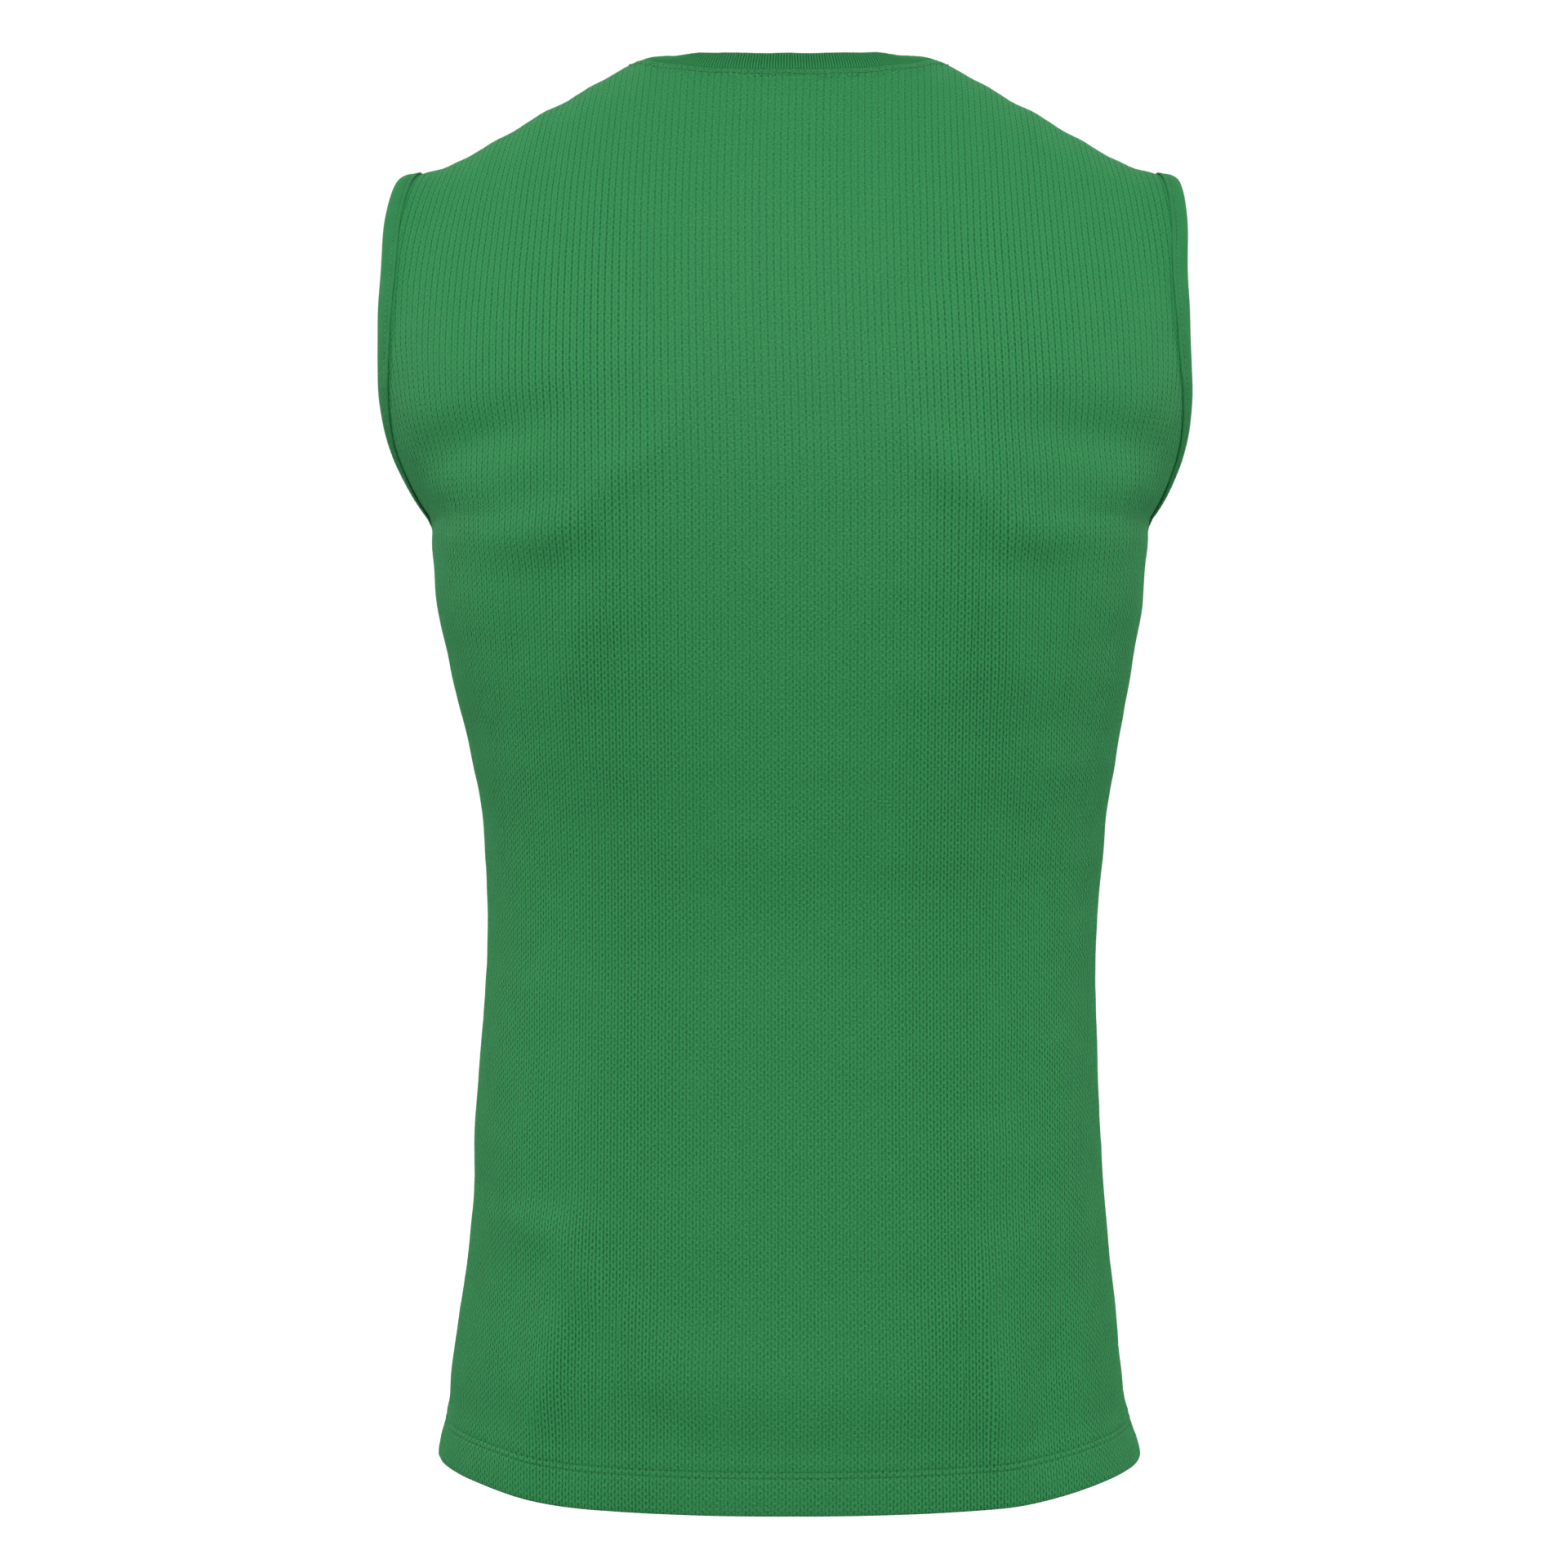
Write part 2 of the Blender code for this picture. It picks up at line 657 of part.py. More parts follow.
def main():
    """Builds the shirt's five pieces."""
    clear_scene()
    shirt = bpy.data.collections.new("sports_shirt")
    bpy.context.scene.collection.children.link(shirt)
    panels = {side: Panel(side) for side in (BACK, FRONT)}
    add_panel("back_panel", panels[BACK], material("back_knit", KNIT_GREEN, 0.75), shirt)
    add_panel("front_panel", panels[FRONT], material("front_knit", KNIT_GREEN, 0.75), shirt)
    cloth = outer_faces(panels)
    left_knit = material("left_binding_knit", BINDING_GREEN, 0.65)
    right_knit = material("right_binding_knit", BINDING_GREEN, 0.65)
    add_binding("left_armhole_binding", panels, 1, cloth, left_knit, shirt)
    add_binding("right_armhole_binding", panels, -1, cloth, right_knit, shirt)
    add_collar("rib_collar", panels, material("collar_rib", RIB_GREEN, 0.8), shirt)


main()
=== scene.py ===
"""Looks of a sleeveless crew-neck sports shirt in green mesh knit, filled out as if worn, by nobody.

Metres, +Z up. The wearer would face -Y and the camera looks at the back. The cloth pieces follow the
same cut as the solids, on finer grids, with seams, stitching, ribs and soft folds worked into them.
"""

import logging
import math
import random
from dataclasses import dataclass
from enum import Enum
from typing import NamedTuple

import bpy
import numpy as np
from mathutils import Matrix, Vector
from mathutils.bvhtree import BVHTree
from mathutils.kdtree import KDTree


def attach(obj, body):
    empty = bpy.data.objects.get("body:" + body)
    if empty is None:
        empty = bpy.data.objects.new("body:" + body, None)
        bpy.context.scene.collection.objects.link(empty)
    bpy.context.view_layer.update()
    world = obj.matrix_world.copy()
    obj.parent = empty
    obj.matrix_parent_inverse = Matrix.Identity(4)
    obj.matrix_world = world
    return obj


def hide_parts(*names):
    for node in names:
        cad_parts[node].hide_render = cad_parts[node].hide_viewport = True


LOG = logging.getLogger("sports_shirt")
CLOTH_UV = "cloth_metres"
NECK_UV = "neck_metres"
BODY = "root"
QUARTER_STEPS = 1200
HALVINGS = 40
HAIR = 1e-9
SHARP_ANGLE = math.radians(55)
HEM_STITCH_HEIGHTS = (0.0171, 0.0200)

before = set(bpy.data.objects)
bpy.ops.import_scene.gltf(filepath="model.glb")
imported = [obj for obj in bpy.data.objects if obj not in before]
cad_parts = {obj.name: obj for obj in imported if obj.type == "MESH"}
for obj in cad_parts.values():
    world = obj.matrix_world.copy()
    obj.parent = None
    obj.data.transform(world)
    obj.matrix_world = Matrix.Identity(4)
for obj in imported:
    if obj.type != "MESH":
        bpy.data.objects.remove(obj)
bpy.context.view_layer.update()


class Side(Enum):
    """The two body panels, by the way they face."""

    BACK = 1
    FRONT = -1


class Hand(Enum):
    """The wearer's two sides, by the way that they lie from the middle."""

    LEFT = 1
    RIGHT = -1


def table_of(row: type, *values: tuple) -> tuple:
    """A table of named rows, whose values come in the order of the row's fields."""
    return tuple(row(*line) for line in values)


class Section(NamedTuple):
    """A level of the body: half-widths to the side seams, and depths to the back and front."""

    z: float
    left: float
    right: float
    back: float
    front: float
    corner: float


SECTIONS = table_of(
    Section,
    (-0.7120, 0.1782, 0.1790, 0.1190, 0.1165, 2.25),
    (-0.6980, 0.1750, 0.1742, 0.1182, 0.1160, 2.25),
    (-0.6850, 0.1722, 0.1706, 0.1168, 0.1152, 2.25),
    (-0.6607, 0.1702, 0.1677, 0.1150, 0.1145, 2.25),
    (-0.6192, 0.1643, 0.1639, 0.1110, 0.1140, 2.25),
    (-0.5777, 0.1598, 0.1598, 0.1065, 0.1135, 2.25),
    (-0.5362, 0.1589, 0.1573, 0.1020, 0.1130, 2.25),
    (-0.4947, 0.1556, 0.1560, 0.0985, 0.1120, 2.25),
    (-0.4532, 0.1527, 0.1552, 0.0965, 0.1110, 2.25),
    (-0.4117, 0.1531, 0.1577, 0.0975, 0.1115, 2.25),
    (-0.3702, 0.1569, 0.1623, 0.1015, 0.1140, 2.34),
    (-0.3287, 0.1660, 0.1693, 0.1060, 0.1180, 2.48),
    (-0.2872, 0.1751, 0.1764, 0.1100, 0.1215, 2.66),
    (-0.2498, 0.1790, 0.1800, 0.1125, 0.1235, 2.82),
    (-0.2320, 0.1806, 0.1818, 0.1132, 0.1237, 2.90),
    (-0.2000, 0.2110, 0.2095, 0.1137, 0.1234, 3.05),
)


class ShoulderPoint(NamedTuple):
    """A point of the line over the shoulders, which the neck and the armholes interrupt."""

    x: float
    z: float


SHOULDER = table_of(
    ShoulderPoint,
    (0.0000, 0.0190),
    (0.0300, 0.0155),
    (0.0560, 0.0080),
    (0.0760, 0.0000),
    (0.0870, -0.0052),
    (0.1060, -0.0160),
    (0.1310, -0.0299),
    (0.1560, -0.0447),
    (0.1720, -0.0530),
    (0.1850, -0.0568),
    (0.2000, -0.0612),
    (0.2420, -0.0700),
)


class Column(NamedTuple):
    """How a panel climbs from the underarm level to the shoulder line, by share of half its width."""

    share: float
    rise: float
    flare: float
    out: float
    away: float
    drop: float


COLUMNS = {
    Side.BACK: table_of(
        Column,
        (0.00, 0.100, 0.000, 0.000, 0.064, 0.0000),
        (0.16, 0.098, 0.000, 0.001, 0.060, 0.0006),
        (0.32, 0.090, 0.000, 0.001, 0.053, 0.0012),
        (0.55, 0.076, 0.001, 0.000, 0.055, 0.0020),
        (0.78, 0.064, 0.010, -0.004, 0.072, 0.0020),
        (1.00, 0.062, 0.019, -0.006, 0.078, 0.0030),
    ),
    Side.FRONT: table_of(
        Column,
        (0.00, 0.072, 0.000, 0.000, 0.076, 0.0380),
        (0.16, 0.074, 0.000, 0.001, 0.072, 0.0300),
        (0.32, 0.078, 0.000, 0.002, 0.064, 0.0120),
        (0.55, 0.072, 0.000, 0.000, 0.060, 0.0040),
        (0.78, 0.064, 0.006, -0.005, 0.070, 0.0020),
        (1.00, 0.062, 0.013, -0.006, 0.074, 0.0030),
    ),
}


class ArmholeCut(NamedTuple):
    """How much of a panel's half width the armhole takes away, on the way up from the underarm."""

    way_up: float
    cut: float


ARMHOLE = {
    Side.BACK: table_of(
        ArmholeCut,
        (0.00, 0.000),
        (0.10, 0.050),
        (0.20, 0.092),
        (0.32, 0.131),
        (0.46, 0.194),
        (0.60, 0.216),
        (0.74, 0.209),
        (0.88, 0.211),
        (1.00, 0.220),
    ),
    Side.FRONT: table_of(
        ArmholeCut,
        (0.00, 0.000),
        (0.10, 0.058),
        (0.20, 0.118),
        (0.32, 0.180),
        (0.46, 0.232),
        (0.62, 0.256),
        (0.80, 0.246),
        (1.00, 0.220),
    ),
}


class Fold(NamedTuple):
    """A soft trough (depth below zero) or ridge in a panel, seen from straight before it."""

    x: float
    z: float
    slant: float
    length: float
    width: float
    depth: float


FOLDS = {
    Side.BACK: table_of(
        Fold,
        (0.143, -0.199, 166.0, 0.045, 0.014, -0.0051),
        (-0.150, -0.199, 7.0, 0.048, 0.015, -0.0048),
        (0.118, -0.245, 175.0, 0.030, 0.013, 0.0033),
        (-0.122, -0.246, 5.0, 0.028, 0.013, 0.0030),
        (0.082, -0.222, 138.0, 0.036, 0.012, 0.0036),
        (-0.082, -0.222, 42.0, 0.036, 0.012, 0.0033),
        (0.000, -0.440, 0.0, 0.080, 0.030, -0.0012),
        (0.118, -0.650, 101.0, 0.055, 0.012, 0.0045),
        (-0.100, -0.660, 88.0, 0.038, 0.014, 0.0033),
    ),
    Side.FRONT: table_of(
        Fold,
        (0.115, -0.215, 48.0, 0.055, 0.018, -0.0030),
        (-0.120, -0.205, 130.0, 0.060, 0.020, -0.0030),
        (0.090, -0.330, 70.0, 0.070, 0.022, -0.0024),
        (-0.085, -0.350, 105.0, 0.080, 0.022, -0.0024),
        (0.070, -0.600, 84.0, 0.090, 0.022, 0.0026),
        (-0.080, -0.590, 95.0, 0.090, 0.024, 0.0026),
    ),
}


CREASES = {
    Side.BACK: table_of(
        Fold,
        (0.004, -0.040, 4.0, 0.030, 0.006, -0.0011),
        (-0.010, -0.052, -6.0, 0.026, 0.006, -0.0010),
        (0.075, -0.125, 80.0, 0.032, 0.014, -0.0021),
        (-0.073, -0.118, 124.0, 0.032, 0.013, -0.0024),
        (0.094, -0.290, 112.0, 0.055, 0.018, 0.0022),
        (-0.097, -0.285, 73.0, 0.055, 0.018, 0.0022),
        (0.004, -0.651, 1.0, 0.090, 0.018, 0.0029),
        (0.092, -0.607, 51.0, 0.040, 0.012, 0.0024),
        (-0.089, -0.610, 128.0, 0.040, 0.012, 0.0022),
        (0.125, -0.580, 2.0, 0.030, 0.010, 0.0019),
        (-0.127, -0.648, 96.0, 0.045, 0.011, -0.0026),
        (0.065, -0.665, 12.0, 0.018, 0.010, -0.0013),
    ),
    Side.FRONT: table_of(
        Fold,
        (0.140, -0.235, 35.0, 0.034, 0.010, -0.0016),
        (-0.140, -0.232, 144.0, 0.036, 0.010, -0.0016),
        (0.050, -0.130, 60.0, 0.040, 0.012, -0.0012),
        (-0.056, -0.125, 122.0, 0.042, 0.012, -0.0012),
        (0.015, -0.480, 8.0, 0.060, 0.015, -0.0012),
        (-0.030, -0.530, -12.0, 0.050, 0.014, -0.0010),
        (0.010, -0.640, 88.0, 0.055, 0.016, 0.0012),
    ),
}


class Relief(NamedTuple):
    """How far a face stands proud at a distance from an edge or from the hem's fold."""

    distance: float
    proud: float


NECK_STRIP = table_of(
    Relief,
    (0.0000, 0.00010),
    (0.0008, 0.00050),
    (0.0022, 0.00085),
    (0.0042, 0.00080),
    (0.0054, 0.00040),
    (0.0062, -0.00040),
    (0.0070, -0.00010),
    (0.0085, 0.00010),
    (0.0120, 0.00000),
)

SIDE_SEAM = table_of(
    Relief,
    (0.0000, -0.00040),
    (0.0007, -0.00025),
    (0.0018, 0.00010),
    (0.0040, 0.00022),
    (0.0068, 0.00014),
    (0.0085, 0.00000),
    (0.0120, 0.00000),
)

HEM_FACE = table_of(
    Relief,
    (0.0000, -0.00090),
    (0.0008, -0.00020),
    (0.0025, 0.00005),
    (0.0090, 0.00015),
    (0.0150, 0.00010),
    (0.0163, 0.00002),
    (0.0171, -0.00050),
    (0.0179, 0.00000),
    (0.0187, 0.00012),
    (0.0193, 0.00000),
    (0.0200, -0.00060),
    (0.0209, -0.00005),
    (0.0230, 0.00020),
    (0.0280, 0.00000),
)


class CollarLean(NamedTuple):
    """How the collar band stands on its seam: round is 0 at the back, 1 at the front."""

    round: float
    inward: float
    rise: float


COLLAR_LEAN = table_of(
    CollarLean,
    (0.00, 0.0078, 0.0098),
    (0.22, 0.0090, 0.0086),
    (0.37, 0.0110, 0.0038),
    (0.50, 0.0120, 0.0026),
    (0.63, 0.0108, 0.0052),
    (0.78, 0.0090, 0.0086),
    (1.00, 0.0062, 0.0108),
)


class TableCurve:
    """A smooth curve through the rows of a table, read by the table's first column."""

    def __init__(self, rows: tuple, level_start: bool = False, level_end: bool = False) -> None:
        """Works out the slope at each row.

        Args:
            rows: the table, named tuples in rising order of their first value.
            level_start: whether the curve starts level, because it goes on mirrored there.
            level_end: the same at its other end.
        """
        self.row = type(rows[0])
        self.table = np.array(rows, dtype=float)
        self.keys = self.table[:, 0]
        self.slopes = np.gradient(self.table, self.keys, axis=0)
        if level_start:
            self.slopes[0, 1:] = 0.0
        if level_end:
            self.slopes[-1, 1:] = 0.0

    def at(self, key: float | np.ndarray) -> NamedTuple:
        """The table's row at a key, or one row of arrays for an array of keys."""
        key = np.asarray(key, dtype=float)
        span = np.clip(np.searchsorted(self.keys, key) - 1, 0, len(self.keys) - 2)
        step = (self.keys[span + 1] - self.keys[span])[..., None]
        t = (key - self.keys[span])[..., None] / step
        start = self.table[span] + t * step * self.slopes[span] * (1 - t)
        end = self.table[span + 1] - (1 - t) * step * self.slopes[span + 1] * t
        weight = t * t * (3 - 2 * t)
        return self.row(*np.moveaxis(start * (1 - weight) + end * weight, -1, 0))

    def proud(self, distance: np.ndarray) -> np.ndarray:
        """A relief table's height at each distance, and none past its last row."""
        return np.interp(distance, self.keys, self.table[:, 1], right=0.0)


@dataclass(frozen=True)
class ShirtForm:
    """The cut of the shirt on its figure, which both body panels share."""

    hem_z: float = -0.7098
    hem_side_rise: float = 0.0065
    hem_rise_from: float = 0.58
    hem_rise_fades_at: float = -0.6000
    underarm_z: float = -0.2320
    neck_half_width: float = 0.0760
    back_neck_depth: float = 0.0520
    front_neck_depth: float = 0.0840
    shoulder_tip_x: float = 0.1930
    tip_share: float = 0.78
    armhole_sway: float = 0.0025
    sway_bias: float = 0.85
    seam_gap: float = 0.00002
    wall: float = 0.0011
    doubled_wall: float = 0.0022

    @property
    def neck_end(self) -> float:
        """The share of the shoulder line at which the neck ends."""
        return self.neck_half_width / self.shoulder_tip_x

    def neck_depth(self, side: Side) -> float:
        """How far the neck's cut reaches behind or before the shoulder seams."""
        return self.back_neck_depth if side is Side.BACK else self.front_neck_depth

    def quarter(self, half: float, depth: float, corner: float, shares: np.ndarray) -> tuple:
        """Points of a rounded quarter, from the panel's middle to its side.

        Args:
            half: half-width to the side seam.
            depth: distance from the side seams' plane to the panel's middle.
            corner: how square the rounding is; 2 is an ellipse.
            shares: places along the quarter, by share of its length.

        Returns:
            The points' x and y.
        """
        turn = np.linspace(0.0, math.pi / 2, QUARTER_STEPS)
        x = half * np.sin(turn) ** (2 / corner)
        y = depth * np.cos(turn) ** (2 / corner)
        length = np.concatenate([[0.0], np.cumsum(np.hypot(np.diff(x), np.diff(y)))])
        wanted = shares * length[-1]
        return np.interp(wanted, length, x), np.interp(wanted, length, y)

    def level_row(self, side: Side, shares: np.ndarray, z: float) -> np.ndarray:
        """Points of a panel at one level, by signed share of its half width."""
        level = SECTION_CURVE.at(z)
        depth = level.back if side is Side.BACK else level.front
        reach = np.abs(shares)
        left_x, left_y = self.quarter(level.left, depth, level.corner, reach)
        right_x, right_y = self.quarter(level.right, depth, level.corner, reach)
        on_left = shares > 0
        x = np.where(on_left, left_x, -right_x)
        y = side.value * np.where(on_left, left_y, right_y)
        return np.stack([x, y, np.full_like(x, z)], axis=-1)

    def low_row(self, side: Side, columns: np.ndarray, z: float) -> np.ndarray:
        """A row of a panel under the underarm level, which lifts near the hem's side seams."""
        row = self.level_row(side, columns, z)
        level = SECTION_CURVE.at(z)
        share = np.abs(row[:, 0]) / np.where(row[:, 0] > 0, level.left, level.right)
        fade = (self.hem_rise_fades_at - z) / (self.hem_rise_fades_at - self.hem_z)
        rise = self.hem_side_rise * smooth_step((share - self.hem_rise_from) / (1 - self.hem_rise_from))
        row[:, 2] += rise * min(max(fade, 0.0), 1.0)
        return row

    def column_points(self, side: Side, shares: np.ndarray) -> tuple:
        """The four control points of each column, from the underarm level to the shoulder line."""
        probe = 0.001
        start = self.level_row(side, shares, self.underarm_z)
        lean = (self.level_row(side, shares, self.underarm_z + probe) - start) / probe
        handle = COLUMN_CURVES[side].at(np.abs(shares))
        x = np.abs(shares) / self.tip_share * self.shoulder_tip_x
        outward = np.sign(shares)
        end = np.stack([outward * x, 0 * x, SHOULDER_CURVE.at(x).z], axis=-1)
        shift = np.stack([outward * handle.out, side.value * handle.away, -handle.drop], axis=-1)
        low = start + lean * handle.rise[:, None]
        low[:, 0] += outward * handle.flare
        return start, low, end + shift, end

    def climbed(self, points: tuple, climb: float | np.ndarray) -> np.ndarray:
        """Where each column is after this share of its climb."""
        start, low, high, end = points
        t = np.asarray(climb)[..., None]
        s = 1 - t
        return s**3 * start + 3 * s * s * t * low + 3 * s * t * t * high + t**3 * end

    def neck_climb(self, side: Side, columns: np.ndarray) -> np.ndarray:
        """The share of its climb that each column has made at the neck's cut, or at the shoulder."""
        points = self.column_points(side, columns * self.tip_share)
        low = np.zeros(len(columns))
        high = np.ones(len(columns))
        for _ in range(HALVINGS):
            middle = (low + high) / 2
            at = self.climbed(points, middle)
            beside = at[:, 0] / self.neck_half_width
            beyond = at[:, 1] / self.neck_depth(side)
            outside = beside**2 + beyond**2 > 1
            low = np.where(outside, middle, low)
            high = np.where(outside, high, middle)
        return np.where(np.abs(columns) < self.neck_end - HAIR, high, 1.0)

    def high_place(self, side: Side, columns: np.ndarray, climb: float, neck: np.ndarray) -> tuple:
        """Where a row over the underarm level lies on the uncut panel: its shares and its climbs."""
        way_up = float(np.interp(climb, CLIMB_OF_WAY_UP, WAYS_UP))
        cut = float(ARMHOLE_CURVES[side].at(way_up).cut)
        return columns * (1 - cut), climb * neck

    def high_row(self, side: Side, shares: np.ndarray, climbs: np.ndarray) -> np.ndarray:
        """A row of a panel over the underarm level, through these places of the uncut panel."""
        row = self.climbed(self.column_points(side, shares), climbs)
        row[:, 0] += self.armhole_sway * np.sin(math.pi * climbs**self.sway_bias) ** 2
        return row


SECTION_CURVE = TableCurve(SECTIONS)
SHOULDER_CURVE = TableCurve(SHOULDER, level_start=True)
COLUMN_CURVES = {side: TableCurve(rows, level_start=True) for side, rows in COLUMNS.items()}
ARMHOLE_CURVES = {side: TableCurve(rows) for side, rows in ARMHOLE.items()}
LEAN_CURVE = TableCurve(COLLAR_LEAN, level_start=True, level_end=True)
NECK_STRIP_CURVE = TableCurve(NECK_STRIP)
SIDE_SEAM_CURVE = TableCurve(SIDE_SEAM)
HEM_CURVE = TableCurve(HEM_FACE)
WAYS_UP = np.linspace(0.0, 1.0, 2001)
CLIMB_OF_WAY_UP = WAYS_UP * WAYS_UP * (2 - WAYS_UP)


def grid_normals(points: np.ndarray, side: Side) -> np.ndarray:
    """Outward unit normals of a panel's grid of points."""
    across = np.gradient(points, axis=1)
    upward = np.gradient(points, axis=0)
    normals = -side.value * np.cross(across, upward)
    return normals / np.linalg.norm(normals, axis=-1, keepdims=True)


def smooth_step(value: np.ndarray) -> np.ndarray:
    """An even ease from 0 to 1 of values held between them."""
    held = np.clip(value, 0.0, 1.0)
    return held * held * (3 - 2 * held)


def mesh_from(name: str, points: np.ndarray, faces: np.ndarray, places: dict) -> bpy.types.Mesh:
    """A mesh from points, four-sided faces and a place on the cloth for each point.

    Args:
        name: the mesh's name.
        points: an array of points.
        faces: an array of four point numbers a face.
        places: for each UV map by name, the place of each point in metres.

    Returns:
        The mesh, smooth but for its sharp edges.
    """
    mesh = bpy.data.meshes.new(name)
    mesh.vertices.add(len(points))
    mesh.vertices.foreach_set("co", points.astype(np.float32).ravel())
    mesh.loops.add(faces.size)
    mesh.loops.foreach_set("vertex_index", faces.astype(np.int32).ravel())
    mesh.polygons.add(len(faces))
    mesh.polygons.foreach_set("loop_start", np.arange(0, faces.size, 4, dtype=np.int32))
    mesh.update(calc_edges=True)
    for uv_map, uvs in places.items():
        layer = mesh.uv_layers.new(name=uv_map)
        layer.data.foreach_set("uv", uvs[faces.ravel()].astype(np.float32).ravel())
    mesh.polygons.foreach_set("use_smooth", np.ones(len(faces), dtype=bool))
    mesh.set_sharp_from_angle(angle=SHARP_ANGLE)
    mesh.validate()
    return mesh


def link_piece(name: str, mesh: bpy.types.Mesh, finish: bpy.types.Material) -> bpy.types.Object:
    """Adds a piece at the origin in its finish."""
    piece = bpy.data.objects.new(name, mesh)
    piece.data.materials.append(finish)
    bpy.context.scene.collection.objects.link(piece)
    return piece


def report_piece(piece: bpy.types.Object) -> None:
    """Logs a finished piece and its face count."""
    LOG.info("%s: %d faces", piece.name, len(piece.data.polygons))


def declare_piece(piece: bpy.types.Object, node: str) -> None:
    """Says what a piece of cloth rides, hides the solid it takes the place of and logs it."""
    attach(piece, BODY)
    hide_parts(node)
    report_piece(piece)


def waves(u: np.ndarray, v: np.ndarray, seed: int, shortest: float, longest: float) -> np.ndarray:
    """Soft unevenness of hand-laid cloth, about -1 to 1.

    Args:
        u: places across the cloth, in metres.
        v: places up the cloth, in metres.
        seed: starts the same waves each run.
        shortest: the shortest wave, in metres.
        longest: the longest wave, in metres.

    Returns:
        The height at each place.
    """
    draw = random.Random(seed)
    count = 12
    total = np.zeros(np.broadcast(u, v).shape)
    for _ in range(count):
        length = draw.uniform(shortest, longest)
        turn = draw.uniform(0.0, math.pi)
        phase = draw.uniform(0.0, 2 * math.pi)
        total += np.sin(2 * math.pi * (u * math.cos(turn) + v * math.sin(turn)) / length + phase)
    return total / math.sqrt(2 * count)


def walked_along(points: np.ndarray) -> np.ndarray:
    """How far along a line each of its points lies."""
    return np.concatenate([[0.0], np.cumsum(np.linalg.norm(np.diff(points, axis=0), axis=-1))])


def walked_across(points: np.ndarray) -> np.ndarray:
    """How far along its own row each point of a grid lies."""
    steps = np.linalg.norm(np.diff(points, axis=1), axis=-1)
    return np.concatenate([np.zeros((len(steps), 1)), np.cumsum(steps, axis=1)], axis=1)


def read_along(at: float | np.ndarray, walked: np.ndarray, rows: np.ndarray) -> np.ndarray:
    """The rows of values between a line's points, at these distances along it."""
    return np.stack([np.interp(at, walked, rows[:, axis]) for axis in range(3)], axis=-1)


def spread_out(points: np.ndarray, start: float) -> tuple:
    """Spreads a grid of cloth flat.

    Args:
        points: rows of points, whose columns run up the cloth.
        start: how high the first row lies.

    Returns:
        How far each point lies from the middle column, and how high.
    """
    walked = walked_across(points)
    across = walked - walked[:, points.shape[1] // 2, None]
    squared = np.sum(np.diff(points, axis=0) ** 2, axis=-1) - np.diff(across, axis=0) ** 2
    climbed = np.cumsum(np.sqrt(np.maximum(squared, 0.0)), axis=0)
    return across, start + np.concatenate([np.zeros((1, points.shape[1])), climbed])


